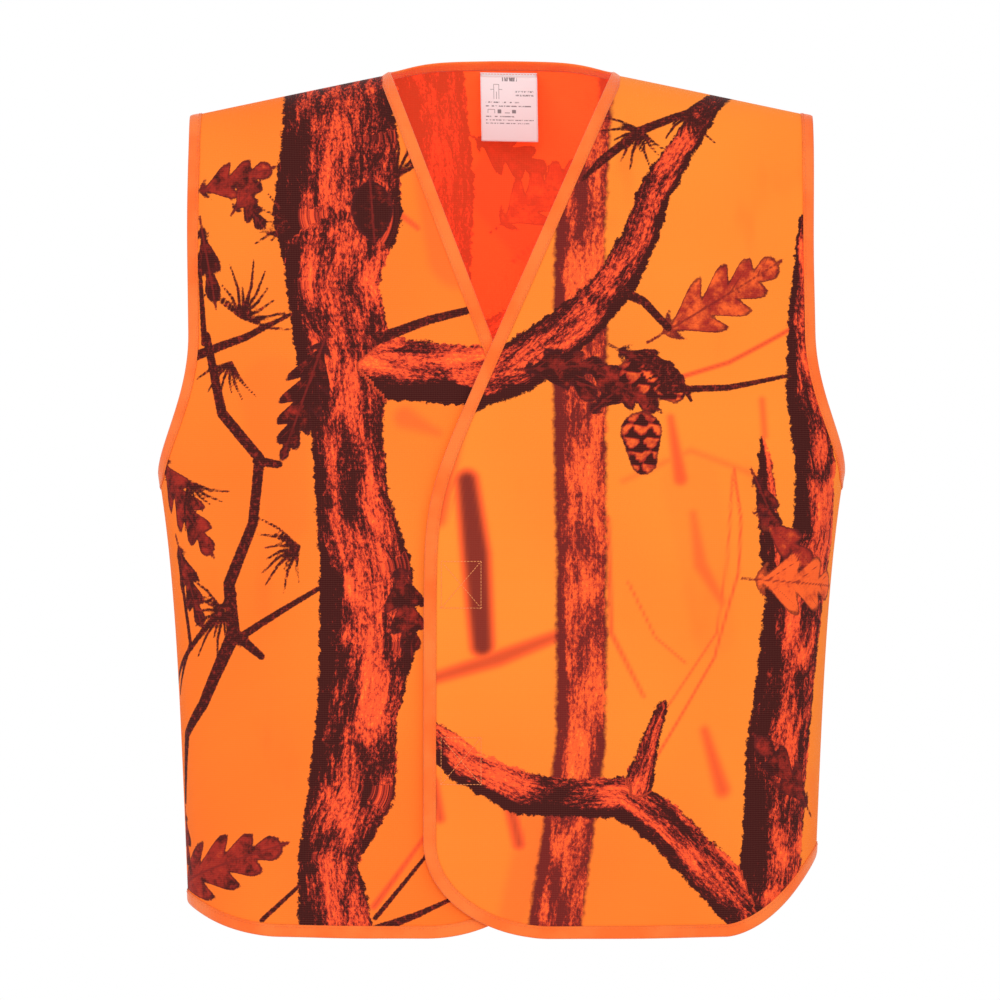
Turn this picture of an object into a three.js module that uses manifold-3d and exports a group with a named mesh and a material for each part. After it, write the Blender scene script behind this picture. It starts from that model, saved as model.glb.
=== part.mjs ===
// Hunter's over-vest in blaze orange: two overlapping fronts and a back, bound along every edge,
// closed by two hook-and-loop patches. Millimetres, +Z up, the wearer's front towards -Y and the
// wearer's left towards +X. The origin lies between the shoulder seams, which carry the vest.

import * as THREE from 'three';
import { mergeVertices } from 'three/addons/utils/BufferGeometryUtils.js';
import Module from 'manifold-3d';

const wasm = await Module();
wasm.setup();

// Driving dimensions of the worn shape
const bodyLength = 660;            // origin down to the hem
const hemHalfWidth = 250;
const chestHalfWidth = 274;        // at the underarm
const shoulderHalfWidth = 249;     // half the width across the shoulder tips
const frontDepth = 98;             // centre plane out to the chest
const backDepth = 105;
const frontFlare = 14;             // how much deeper the section is at the hem
const backFlare = 18;
const sectionSquareness = 2.3;     // superellipse exponent of a level section
const chestZ = -200;               // the flare starts below this level
const yokeFlare = 28;              // height over which the section widens to the underarm
const sideBow = 0.4;               // share of the side's taper that comes close to the underarm
const sideBowPower = 4.5;

const shoulderTipZ = -7;
const shoulderSlope = 0.2125;
const shoulderRoll = 170;          // drop over which the cloth rolls from the ridge to the chest
const ridgeSoftness = 30;          // how far from the centre the two slopes of the ridge meet
const neckHalfWidth = 90;
const neckRise = 20;               // extra height of the ridge line beside the neck
const backNeckReach = 50;          // centre plane back to the middle of the neckline
const armholeReach = 56;           // centre plane forward to the armhole edge
const underarmZ = -298;
const armholeWidestZ = -182;

// Driving dimensions of the fronts' edges and the closure
const leftOverlap = 60;            // the left front lies on top and reaches this far past centre
const rightOverlap = 40;
const liftStart = 70;              // beyond centre, where the left front starts to rise over the right
const liftRun = 65;
const liftTopRise = 193;           // above closureTopZ, where it is down again
const liftTopRun = 60;
const kneeDrop = 180;              // the part of the V that is set out closely, from the neck point
const closureTopZ = -313;          // the V turns into the upright free edge about here
const edgeSoftness = 20;
const cornerWidth = 100;           // rounded lower corner of each front
const cornerHeight = 75;
const leftHemRise = 62;            // how far the hem climbs to each side seam
const rightHemRise = 24;
const hemArch = 0.76;              // share of the section's depth over which it climbs

// Cloth, tape and closure sizes
const clothThickness = 1.2;
const tapeWidth = 9;
const tapeThickness = 2.4;
const cutterOverhang = 14;         // how far a tape's cutter reaches past the edge
const cutterHalfHeight = 9;
const cutterExtend = 4;            // and past its ends
const gap = 0.3;                   // between pieces that touch on the real vest
const seamGap = 0.4;
const patchWidth = 36;
const patchHeight = 40;
const patchThickness = 1.0;
const patchClearance = 0.6;
const patchEdgeInset = 1.5;        // tape to patch
const upperPatchZ = -382;
const lowerPatchZ = -521;

// Seam allowances, label and fold lines
const seamStripWidth = 12;
const seamStripThickness = 1.5;
const seamStripDrop = 3.2;         // ridge to the top of the strip
const sideStripAngle = 0.022;
const sideStripDrop = 4.2;         // cloth to the face of a side strip
const labelWidth = 46;
const labelLength = 52;
const labelThickness = 0.8;
const labelX = 6;
const labelTopDrop = 3;            // neck tape down to the label's hinge
const labelClearance = 8;
const foldTopX = 60;               // where a front folds back, at the upper and lower level
const foldTopZ = -60;
const foldHemX = 170;

const hemZ = -bodyLength;
const armholeShare = armholeReach / frontDepth;   // of the section's depth
const halfCloth = clothThickness / 2;
const halfTape = tapeThickness / 2;
// the left front stands off the right one by the two patches between them
const overlapLift = clothThickness + 2 * patchThickness + 3 * patchClearance;

const fullness = (sine) => Math.max(0, 1 - Math.abs(sine) ** sectionSquareness) ** (1 / sectionSquareness);

// the section's half width above the chest, which puts the shoulder tips where they belong
const yokeHalfWidth = shoulderHalfWidth / fullness(armholeShare);

const smooth = (value) => {
  const t = THREE.MathUtils.clamp(value, 0, 1);
  return t * t * (3 - 2 * t);
};

// ---- the worn form ----

function halfWidth(z) {
  if (z > underarmZ) {
    return yokeHalfWidth + (chestHalfWidth - yokeHalfWidth) * Math.exp((underarmZ - z) / yokeFlare);
  }
  const t = Math.max(0, (z - hemZ) / (underarmZ - hemZ));
  const taper = (1 - sideBow) * t + sideBow * t ** sideBowPower;
  return hemHalfWidth + (chestHalfWidth - hemHalfWidth) * taper;
}

function ridge(x) {
  const along = Math.hypot(shoulderHalfWidth, ridgeSoftness) - Math.hypot(x, ridgeSoftness);
  const bump = Math.max(0, 1 - (x / (neckHalfWidth + 5)) ** 4) ** 1.5;
  return shoulderTipZ + shoulderSlope * along + neckRise * bump;
}

function depth(z, isFront) {
  const t = THREE.MathUtils.clamp((chestZ - z) / (chestZ - hemZ), 0, 1) ** 1.25;
  return isFront ? frontDepth + frontFlare * t : backDepth + backFlare * t;
}

function roll(drop) {
  const t = THREE.MathUtils.clamp(drop / shoulderRoll, 0, 1);
  return Math.sqrt(1 - (1 - t) ** 2);
}

// psi runs round the section: 0 at centre front, 90 degrees at the left side seam, 180 at centre back
function skin(psi, z) {
  const sine = Math.sin(psi);
  const isFront = Math.cos(psi) > 0;
  const x = halfWidth(z) * sine;
  const y = depth(z, isFront) * fullness(sine) * roll(ridge(x) - z);
  return new THREE.Vector3(x, isFront ? -y : y, z);
}

function skinNormal(psi, z) {
  const at = skin(psi, z);
  if (ridge(at.x) - z < 1) {
    const rise = (ridge(at.x + 1) - ridge(at.x - 1)) / 2;
    return new THREE.Vector3(-rise, 0, 1).normalize();
  }
  const round = skin(psi + 0.008, z).sub(skin(psi - 0.008, z));
  const up = skin(psi, z + 0.4).sub(skin(psi, z - 0.4));
  return round.cross(up).normalize();
}

function onSkin({ psi, z, lift = 0 }, offset = 0) {
  return skin(psi, z).addScaledVector(skinNormal(psi, z), lift + offset);
}

// the left front rises over the right one where they overlap
function leftLift(x, z) {
  const across = smooth((leftOverlap + liftStart - x) / liftRun);
  return overlapLift * across * smooth((closureTopZ + liftTopRise - z) / liftTopRun);
}

// ---- outlines on the form ----

function hem(psi) {
  const rise = Math.sin(psi) > 0 ? leftHemRise : rightHemRise;
  return hemZ + rise * Math.max(0, 1 - (fullness(Math.sin(psi)) / hemArch) ** 2) ** 1.5;
}

// distance from the centre plane to a front's edge, positive towards its own side
function frontEdge(z, overlap) {
  const softplus = (t) => edgeSoftness * Math.log1p(Math.exp(t / edgeSoftness));
  const slope = (neckHalfWidth + overlap) / softplus(ridge(neckHalfWidth) - closureTopZ);
  const reach = -overlap + slope * softplus(z - closureTopZ);
  const below = THREE.MathUtils.clamp((hemZ + cornerHeight - z) / cornerHeight, 0, 1);
  return reach + cornerWidth * (1 - Math.sqrt(1 - below ** 2));
}

// the armhole's edge, as a share of the section's depth, turned into psi
function armholePsi(z) {
  const t = THREE.MathUtils.clamp((armholeWidestZ - z) / (armholeWidestZ - underarmZ), 0, 1);
  return Math.asin(fullness(armholeShare * Math.sqrt(1 - t ** 2)));
}

const sidePsi = (z) => (z <= underarmZ ? Math.PI / 2 : armholePsi(z));

function neckline(x) {
  const reach = backNeckReach * Math.sqrt(Math.max(0, 1 - (x / neckHalfWidth) ** 2));
  const share = reach / (backDepth * fullness(x / halfWidth(0)));
  return ridge(x) - shoulderRoll * (1 - Math.sqrt(1 - share ** 2));
}

const backTop = (x) => (Math.abs(x) < neckHalfWidth ? neckline(x) : ridge(x));

// rows of a panel, as shares of its height from the shoulder: close where the shoulder rolls
// over and where the lower corners are round
const rowShares = [];
const shoulderRows = 6;
const bodyRows = 13;
const rollShare = shoulderRoll / (ridge(neckHalfWidth) - hemZ);
for (let k = 0; k < shoulderRows; k++) {
  rowShares.push(rollShare * (1 - Math.cos((k / shoulderRows) * Math.PI / 2)));
}
for (let k = 0; k <= bodyRows; k++) {
  rowShares.push(1 - (1 - rollShare) * (1 - k / bodyRows) ** 1.6);
}

// ---- solids ----

function closedMesh(points, faces) {
  const geometry = new THREE.BufferGeometry();
  geometry.setAttribute('position', new THREE.Float32BufferAttribute(points.flatMap((p) => p.toArray()), 3));
  geometry.setIndex(faces);
  return geometry;
}

// grid[row][column] of outer and inner points; psi grows with the column and z with the row
function shell(outer, inner) {
  const rows = outer.length;
  const columns = outer[0].length;
  const points = [...outer.flat(), ...inner.flat()];
  const faces = [];
  const quad = (a, b, c, d) => faces.push(a, b, c, a, c, d);
  const at = (row, column) => row * columns + column;
  const back = rows * columns;
  for (let r = 0; r < rows - 1; r++) {
    for (let c = 0; c < columns - 1; c++) {
      const [a, b, d, e] = [at(r, c), at(r, c + 1), at(r + 1, c + 1), at(r + 1, c)];
      quad(a, b, d, e);
      quad(back + a, back + e, back + d, back + b);
    }
  }
  for (let r = 0; r < rows - 1; r++) {
    const last = columns - 1;
    quad(at(r, 0), at(r + 1, 0), back + at(r + 1, 0), back + at(r, 0));
    quad(at(r + 1, last), at(r, last), back + at(r, last), back + at(r + 1, last));
  }
  for (let c = 0; c < columns - 1; c++) {
    const top = rows - 1;
    quad(at(0, c + 1), at(0, c), back + at(0, c), back + at(0, c + 1));
    quad(at(top, c), at(top, c + 1), back + at(top, c + 1), back + at(top, c));
  }
  return closedMesh(points, faces);
}

// cloth between two offsets from the form, over a grid of stations
function clothShell(grid, low, high) {
  const lay = (offset) => grid.map((row) => row.map((station) => onSkin(station, offset)));
  return shell(lay(high), lay(low));
}

// a flat tape along an edge, with the cloth on its left seen from outside: it reaches from `from`
// to `to` into the cloth, where its face has a corner at each offset in `levels`, from outside to
// inside. An open edge starts and ends in a seam plane, across Y.
function edgeTape(stations, { from, to, levels, closed = false, extend = 0 }) {
  const count = stations.length;
  const points = stations.map((station) => onSkin(station));
  const normals = stations.map(({ psi, z }) => skinNormal(psi, z));
  const seamDirection = (a, b) => new THREE.Vector3(0, Math.sign(b.y - a.y), 0);
  const section = (point, normal, along) => {
    const inward = normal.clone().cross(along).normalize();
    const corner = (across, out) => point.clone().addScaledVector(inward, across)
      .addScaledVector(normal, out);
    const face = levels.map((level) => corner(to, level));
    return [corner(from, levels[0]), ...face, corner(from, levels[levels.length - 1])];
  };
  const sections = points.map((point, k) => {
    const before = points[closed ? (k + count - 1) % count : Math.max(k - 1, 0)];
    const after = points[closed ? (k + 1) % count : Math.min(k + 1, count - 1)];
    const atEnd = !closed && (k === 0 || k === count - 1);
    const along = atEnd ? seamDirection(before, after) : after.clone().sub(before).normalize();
    return section(point, normals[k], along);
  });
  if (extend > 0 && !closed) {
    const start = seamDirection(points[0], points[1]).multiplyScalar(-extend);
    const end = seamDirection(points[count - 2], points[count - 1]).multiplyScalar(extend);
    sections.unshift(sections[0].map((corner) => corner.clone().add(start)));
    sections.push(sections[sections.length - 1].map((corner) => corner.clone().add(end)));
  }
  const faces = [];
  const corners = levels.length + 2;
  const spans = closed ? sections.length : sections.length - 1;
  for (let k = 0; k < spans; k++) {
    const next = (k + 1) % sections.length;
    for (let side = 0; side < corners; side++) {
      const beside = (side + 1) % corners;
      const [a, b] = [k * corners + side, k * corners + beside];
      const [c, d] = [next * corners + beside, next * corners + side];
      faces.push(a, d, c, a, c, b);
    }
  }
  if (!closed) {
    const last = (sections.length - 1) * corners;
    for (let k = 1; k < corners - 1; k++) {
      faces.push(0, k, k + 1, last, last + k + 1, last + k);
    }
  }
  return closedMesh(sections.flat(), faces);
}

function solid(geometry) {
  const bare = geometry.clone();
  bare.deleteAttribute('normal');
  bare.deleteAttribute('uv');
  const merged = mergeVertices(bare, 1e-4);
  return new wasm.Manifold(new wasm.Mesh({
    numProp: 3,
    vertProperties: new Float32Array(merged.attributes.position.array),
    triVerts: new Uint32Array(merged.index.array),
  }));
}

function geometryOf(manifold) {
  const { vertProperties, triVerts } = manifold.getMesh();
  const geometry = new THREE.BufferGeometry();
  geometry.setAttribute('position', new THREE.Float32BufferAttribute(vertProperties, 3));
  geometry.setIndex(new THREE.Uint32BufferAttribute(triVerts, 1));
  return geometry.toNonIndexed();
}

// everything on one side of a fold line: `keep` is +1 for the side towards the side seam
function foldHalf(side, keep) {
  const run = new THREE.Vector3(side * (foldHemX - foldTopX), 0, hemZ - foldTopZ).normalize();
  const outward = new THREE.Vector3(-run.z * side, 0, run.x * side);
  const size = 4 * bodyLength;
  const box = new THREE.BoxGeometry(size, size, size);
  const middle = new THREE.Vector3(side * foldTopX, 0, foldTopZ)
    .addScaledVector(outward, keep * (size / 2 - gap / 2));
  const turn = new THREE.Quaternion().setFromUnitVectors(new THREE.Vector3(1, 0, 0), outward);
  box.applyQuaternion(turn);
  box.translate(...middle.toArray());
  return solid(box);
}

// ---- outlines as stations ----

const spread = (count, power = 1) => Array.from({ length: count + 1 }, (_, k) => (k / count) ** power);

const psiOf = (x, z) => Math.asin(THREE.MathUtils.clamp(x / halfWidth(z), -1, 1));

// neck point, down the V and the free edge, round the corner and along the hem to the side seam
function frontOutline(side, overlap) {
  const neckZ = ridge(neckHalfWidth);
  const stations = [];
  const add = (u, z) => stations.push({ psi: side * psiOf(u, z), z });
  const kneeStart = neckZ - kneeDrop;
  for (const t of spread(9, 2)) add(frontEdge(neckZ - kneeDrop * t, overlap), neckZ - kneeDrop * t);
  const cornerTop = hemZ + cornerHeight;
  for (const t of spread(14).slice(1)) {
    const z = THREE.MathUtils.lerp(kneeStart, cornerTop, t);
    add(frontEdge(z, overlap), z);
  }
  for (const t of spread(8).slice(1)) {
    const turn = t * Math.PI / 2;
    add(-overlap + cornerWidth * (1 - Math.cos(turn)), hemZ + cornerHeight * (1 - Math.sin(turn)));
  }
  const hemStart = psiOf(cornerWidth - overlap, hemZ);
  for (const t of spread(12, 1).slice(1)) {
    const psi = side * THREE.MathUtils.lerp(Math.PI / 2, hemStart, (1 - t) ** 1.3);
    stations.push({ psi, z: hem(psi) });
  }
  if (side > 0) {
    for (const station of stations) {
      station.lift = leftLift(halfWidth(station.z) * Math.sin(station.psi), station.z);
    }
    return stations;
  }
  return stations.reverse();
}

function backHemOutline() {
  return spread(24).map((t) => {
    const away = Math.sign(t - 0.5) * Math.abs(2 * t - 1) ** 0.8;
    const psi = Math.PI * (1 + away / 2);
    return { psi, z: hem(psi) };
  });
}

function neckOutline() {
  return spread(22).map((t) => {
    const x = -neckHalfWidth * Math.cos(t * Math.PI);
    const z = neckline(x);
    return { psi: Math.PI - psiOf(x, z), z };
  });
}

// round the armhole: up the front edge, over the shoulder tip and down the back edge
function armholeOutline(side) {
  const climb = [];
  const bend = 8;
  for (let k = 1; k <= bend; k++) {
    const turn = (k / bend) * Math.PI / 2;
    const z = armholeWidestZ - (armholeWidestZ - underarmZ) * Math.cos(turn);
    climb.push({ psi: armholePsi(z), z });
  }
  const tipPsi = armholePsi(armholeWidestZ);
  for (let k = bend - 1; k > 0; k--) {
    const turn = (k / bend) * Math.PI / 2;
    climb.push({ psi: tipPsi, z: ridge(shoulderHalfWidth) - shoulderRoll * (1 - Math.cos(turn)) });
  }
  const tip = { psi: tipPsi, z: ridge(shoulderHalfWidth) };
  const down = climb.map(({ psi, z }) => ({ psi: Math.PI - psi, z })).reverse();
  const underarm = { psi: Math.PI / 2, z: underarmZ };
  const left = [underarm, ...climb, tip, ...down];
  if (side > 0) return left;
  return left.map(({ psi, z }) => ({ psi: -psi, z })).reverse();
}

// ---- panels ----

// a point of a panel row: the height depends on x, so it is found by a few passes
function panelStation(psi, share, top) {
  let z = hemZ / 2;
  for (let pass = 0; pass < 12; pass++) {
    const x = halfWidth(z) * Math.sin(psi);
    z = THREE.MathUtils.lerp(top(x), hem(psi), share);
  }
  return { psi, z };
}

// where a front's edge meets a row
function edgePsi(share, overlap, side) {
  let low = hemZ;
  let high = ridge(neckHalfWidth);
  for (let pass = 0; pass < 40; pass++) {
    const z = (low + high) / 2;
    const u = frontEdge(z, overlap);
    const row = THREE.MathUtils.lerp(ridge(u), hem(side * psiOf(u, z)), share);
    if (z < row) low = z;
    else high = z;
  }
  const z = (low + high) / 2;
  return psiOf(frontEdge(z, overlap), z);
}

function outerPsi(share, top) {
  let psi = Math.PI / 2;
  for (let pass = 0; pass < 30; pass++) psi = (psi + sidePsi(panelStation(psi, share, top).z)) / 2;
  return psi;
}

function frontGrid(side, overlap) {
  return [...rowShares].reverse().map((share) => {
    const inner = edgePsi(share, overlap, side);
    const outer = outerPsi(share, ridge);
    const row = spread(12).map((t) => {
      const psi = THREE.MathUtils.lerp(outer, inner, (1 - t) ** 1.25);
      const station = panelStation(side * psi, share, ridge);
      if (side > 0) station.lift = leftLift(halfWidth(station.z) * Math.sin(station.psi), station.z);
      return station;
    });
    return side > 0 ? row : row.reverse();
  });
}

function backGrid() {
  const neckPsi = psiOf(neckHalfWidth, ridge(neckHalfWidth));
  return [...rowShares].reverse().map((share) => {
    const outer = outerPsi(share, backTop);
    const half = [
      ...spread(2).map((t) => t * neckPsi),
      ...spread(8).slice(1).map((t) => THREE.MathUtils.lerp(outer, neckPsi, (1 - t) ** 1.25)),
    ];
    const round = [...half.slice(1).reverse().map((psi) => Math.PI - psi), ...half.map((psi) => Math.PI + psi)];
    return round.map((psi) => panelStation(psi, share, backTop));
  });
}

// ---- assembly ----

const vest = new THREE.Group();

function finish(color, roughness = 0.85) {
  return new THREE.MeshStandardMaterial({ color, roughness, metalness: 0 });
}

function add(name, geometry, material, y = 0) {
  const mesh = new THREE.Mesh(geometry, material);
  mesh.name = name;
  mesh.position.y = y;
  vest.add(mesh);
  return mesh;
}

const frontCloth = finish(0xff8a2e);
const backCloth = finish(0xf97a26);
const tape = finish(0xff7a3a, 0.7);
const hookTape = finish(0xe8662a, 0.9);
const loopTape = finish(0xf07a3c, 0.95);
const labelCloth = finish(0xeeeae6, 0.6);
const seamTape = finish(0xe96a30);

const tapeSize = { from: 0, to: tapeWidth, levels: [halfTape, -halfTape] };
const tapeSpace = {
  from: -cutterOverhang,
  to: tapeWidth + gap + seamGap / 2,
  levels: [cutterHalfHeight, halfTape, -halfTape, -cutterHalfHeight],
  extend: cutterExtend,
};

const armholes = { left: armholeOutline(1), right: armholeOutline(-1) };
const armholeSpace = Object.fromEntries(Object.entries(armholes).map(([name, outline]) => [
  name, solid(edgeTape(outline, { ...tapeSpace, closed: true })),
]));

function makeFront(name, side, overlap) {
  const outline = frontOutline(side, overlap);
  const panel = solid(clothShell(frontGrid(side, overlap), -halfCloth, halfCloth))
    .subtract(solid(edgeTape(outline, tapeSpace)))
    .subtract(armholeSpace[name]);
  const edge = solid(edgeTape(outline, tapeSize));
  const sideHalf = foldHalf(side, 1);
  const flapHalf = foldHalf(side, -1);
  const y = -seamGap / 2;
  add(`${name}_front_side`, geometryOf(panel.subtract(flapHalf)), frontCloth, y);
  add(`${name}_front_flap`, geometryOf(panel.subtract(sideHalf)), frontCloth, y);
  add(`${name}_front_edge_binding`, geometryOf(edge.subtract(sideHalf)), tape, y);
  const ends = edge.subtract(flapHalf).decompose();
  ends.sort((a, b) => b.boundingBox().max[2] - a.boundingBox().max[2]);
  add(`${name}_neck_binding`, geometryOf(ends[0]), tape, y);
  add(`${name}_hem_binding`, geometryOf(ends[1]), tape, y);
}

function makeBack() {
  const hemOutline = backHemOutline();
  const neck = neckOutline();
  const panel = solid(clothShell(backGrid(), -halfCloth, halfCloth))
    .subtract(solid(edgeTape(hemOutline, tapeSpace)))
    .subtract(solid(edgeTape(neck, tapeSpace)))
    .subtract(armholeSpace.left)
    .subtract(armholeSpace.right);
  const y = seamGap / 2;
  add('back_panel', geometryOf(panel), backCloth, y);
  add('back_hem_binding', edgeTape(hemOutline, tapeSize), tape, y);
  add('back_neck_binding', edgeTape(neck, tapeSize), tape, y);
}

function makePatches() {
  const x = -leftOverlap + tapeWidth + patchEdgeInset + patchWidth / 2;
  for (const [name, z] of [['upper', upperPatchZ], ['lower', lowerPatchZ]]) {
    const grid = spread(2).map((v) => spread(3).map((u) => {
      const height = z + patchHeight * (v - 0.5);
      return { psi: psiOf(x + patchWidth * (u - 0.5), height), z: height };
    }));
    const loopLow = halfCloth + patchClearance;
    const hookLow = loopLow + patchThickness + patchClearance;
    add(`${name}_loop_patch`, clothShell(grid, loopLow, loopLow + patchThickness), loopTape);
    add(`${name}_hook_patch`, clothShell(grid, hookLow, hookLow + patchThickness), hookTape);
  }
}

function makeShoulderSeam(name, side) {
  const start = neckHalfWidth + tapeWidth + 5;
  const end = shoulderHalfWidth - tapeWidth - 2;
  const fall = ridge(start) - ridge(end);
  const strip = new THREE.BoxGeometry(Math.hypot(end - start, fall), seamStripWidth, seamStripThickness);
  const mesh = add(`${name}_shoulder_seam`, strip, seamTape);
  const slope = Math.atan2(fall, end - start);
  const drop = (seamStripDrop + seamStripThickness / 2) / Math.cos(slope);
  mesh.rotation.y = side * slope;
  mesh.position.set(side * (start + end) / 2, 0, (ridge(start) + ridge(end)) / 2 - drop);
}

function makeSideSeam(name, side) {
  const low = hem(side * Math.PI / 2) + tapeWidth + 3;
  const high = underarmZ - tapeWidth - 3;
  const outer = -halfCloth - sideStripDrop;
  const grid = spread(10).map((t) => [-1, 0, 1].map((across) => ({
    psi: side * (Math.PI / 2) + across * sideStripAngle,
    z: THREE.MathUtils.lerp(low, high, t),
  })));
  add(`${name}_side_seam`, clothShell(grid, outer - seamStripThickness, outer), seamTape);
}

function makeLabel() {
  const hingeZ = neckline(labelX) - tapeWidth - labelTopDrop;
  const wall = skin(Math.PI - psiOf(labelX, hingeZ), hingeZ).y;
  const label = new THREE.BoxGeometry(labelWidth, labelThickness, labelLength);
  const mesh = add('care_label', label, labelCloth);
  mesh.position.set(labelX, wall - labelClearance, hingeZ - labelLength / 2);
}

makeFront('left', 1, leftOverlap);
makeFront('right', -1, rightOverlap);
makeBack();
for (const [name, side] of [['left', 1], ['right', -1]]) {
  add(`${name}_armhole_binding`, edgeTape(armholes[name], { ...tapeSize, closed: true }), tape);
  makeShoulderSeam(name, side);
  makeSideSeam(name, side);
}
makePatches();
makeLabel();

export default vest;
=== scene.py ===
# %% [markdown]
# # A blaze orange over-vest
# The vest is three pieces of thin printed cloth, bound with tape along every edge and closed in
# front by two hook-and-loop patches. The imported model gives the frame: where the shoulders, the
# hem and the fold lines are, and which bodies move. Everything soft is made here, on the same form.

# %% Load the frame
import math
import bmesh
import bpy
import numpy as np
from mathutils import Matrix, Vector


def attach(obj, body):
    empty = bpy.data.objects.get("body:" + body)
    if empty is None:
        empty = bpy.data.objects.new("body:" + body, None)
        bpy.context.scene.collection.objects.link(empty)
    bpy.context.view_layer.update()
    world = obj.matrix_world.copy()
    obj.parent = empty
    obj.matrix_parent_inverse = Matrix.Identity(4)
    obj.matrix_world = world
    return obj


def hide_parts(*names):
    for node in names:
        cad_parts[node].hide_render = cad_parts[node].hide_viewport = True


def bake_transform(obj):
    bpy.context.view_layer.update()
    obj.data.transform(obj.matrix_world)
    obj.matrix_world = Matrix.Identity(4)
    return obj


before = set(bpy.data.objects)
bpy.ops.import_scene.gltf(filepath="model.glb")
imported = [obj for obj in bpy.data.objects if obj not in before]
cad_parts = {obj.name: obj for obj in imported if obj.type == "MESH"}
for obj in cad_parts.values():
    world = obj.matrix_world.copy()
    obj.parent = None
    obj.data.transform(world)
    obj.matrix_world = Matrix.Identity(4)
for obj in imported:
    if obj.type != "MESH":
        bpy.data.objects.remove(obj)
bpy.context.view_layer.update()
MM = 0.001


def placed(name, data):
    """A new object in the scene."""
    obj = bpy.data.objects.new(name, data)
    bpy.context.scene.collection.objects.link(obj)
    return obj


# %% [markdown]
# The camera stands in front of the vest, level with its middle, and far enough away that there is
# almost no perspective. It is made first and looks along +Y.

# %% Camera
picture_width, picture_middle, camera_distance, sensor = 0.795, (-0.001, -0.06, -0.3150), 6.0, 36
camera = placed("camera", bpy.data.cameras.new("camera"))
camera.data.sensor_width = sensor
camera.data.lens = sensor * camera_distance / picture_width
camera.location = Vector(picture_middle) - Vector((0, camera_distance, 0))
camera.rotation_euler = (math.pi / 2, 0, 0)
bpy.context.scene.camera = camera
print("camera lens mm:", round(camera.data.lens))

# %% [markdown]
# The worn form is a stack of rounded sections: a superellipse at each level, wider and flatter at
# the chest than at the hem, which rolls over to a ridge along the shoulders. A formula is better
# than a sculpt here, because cloth, tape, seams and print all have to lie on exactly the same
# surface. `psi` runs round the section from centre front, and the lengths are in millimetres.

# %% The worn form
BODY_LENGTH = 660
HEM_Z = -BODY_LENGTH
HEM_HALF, CHEST_HALF, SHOULDER_HALF = 250, 274, 249
FRONT_DEPTH, BACK_DEPTH, FRONT_FLARE, BACK_FLARE = 98, 105, 14, 18
SQUARENESS, CHEST_Z = 2.3, -200
TIP_Z, SLOPE, ROLL = -7, 0.2125, 170
NECK_HALF, NECK_RISE, NECK_REACH = 90, 20, 50
ARM_REACH, UNDERARM_Z, ARM_WIDEST_Z = 56, -298, -182
OVERLAP = {"left": 60, "right": 40}
CLOSURE_TOP_Z, EDGE_SOFTNESS = -313, 20
CORNER_WIDTH, CORNER_HEIGHT = 100, 75
HEM_RISE = {"left": 62, "right": 24}
HEM_ARCH = 0.76
SIDE_BOW, SIDE_BOW_POWER = 0.4, 4.5
YOKE_FLARE, RIDGE_SOFTNESS, FLARE_POWER = 28, 30, 1.25
LIFT, LIFT_START, LIFT_RUN, LIFT_TOP_RISE, LIFT_TOP_RUN = 5.0, 70, 65, 193, 60
SIDE = {"left": 1, "right": -1}


def fullness(sine):
    return np.maximum(0, 1 - np.abs(sine) ** SQUARENESS) ** (1 / SQUARENESS)


ARM_SHARE = ARM_REACH / FRONT_DEPTH
YOKE_HALF = SHOULDER_HALF / float(fullness(ARM_SHARE))


def half_width(z):
    t = np.clip((z - HEM_Z) / (UNDERARM_Z - HEM_Z), 0, 1)
    body = HEM_HALF + (CHEST_HALF - HEM_HALF) * ((1 - SIDE_BOW) * t + SIDE_BOW * t ** SIDE_BOW_POWER)
    yoke = YOKE_HALF + (CHEST_HALF - YOKE_HALF) * np.exp(np.minimum(UNDERARM_Z - z, 0) / YOKE_FLARE)
    return np.where(z > UNDERARM_Z, yoke, body)


def ridge(x):
    along = math.hypot(SHOULDER_HALF, RIDGE_SOFTNESS) - np.hypot(x, RIDGE_SOFTNESS)
    bump = np.maximum(0, 1 - (x / (NECK_HALF + 5)) ** 4) ** 1.5
    return TIP_Z + SLOPE * along + NECK_RISE * bump


def depth(z, is_front):
    t = np.clip((CHEST_Z - z) / (CHEST_Z - HEM_Z), 0, 1) ** FLARE_POWER
    return np.where(is_front, FRONT_DEPTH + FRONT_FLARE * t, BACK_DEPTH + BACK_FLARE * t)


def roll(drop):
    t = np.clip(drop / ROLL, 0, 1)
    return np.sqrt(np.maximum(0, 1 - (1 - t) ** 2))


def skin(psi, z):
    sine, is_front = np.sin(psi), np.cos(psi) > 0
    x = half_width(z) * sine
    y = depth(z, is_front) * fullness(sine) * roll(ridge(x) - z)
    return np.stack([x, np.where(is_front, -y, y), z + 0 * x], -1)


def unit(v):
    return v / np.maximum(np.linalg.norm(v, axis=-1, keepdims=True), 1e-9)


def skin_normal(psi, z):
    around = skin(psi + 0.008, z) - skin(psi - 0.008, z)
    up = skin(psi, z + 0.4) - skin(psi, z - 0.4)
    normal = unit(np.cross(around, up))
    x = skin(psi, z)[..., 0]
    rise = (ridge(x + 1) - ridge(x - 1)) / 2
    top = unit(np.stack([-rise, 0 * x, 1 + 0 * x], -1))
    near_ridge = np.clip((4 - (ridge(x) - z)) / 4, 0, 1)[..., None]
    return unit(normal * (1 - near_ridge) + top * near_ridge)


def smooth(value):
    t = np.clip(value, 0, 1)
    return t * t * (3 - 2 * t)


def psi_of(x, z):
    return np.arcsin(np.clip(x / half_width(z), -1, 1))


def left_lift(x, z):
    """How far the left front stands off where it lies over the right one."""
    over = smooth((OVERLAP["left"] + LIFT_START - x) / LIFT_RUN)
    return LIFT * over * smooth((CLOSURE_TOP_Z + LIFT_TOP_RISE - z) / LIFT_TOP_RUN)


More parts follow.
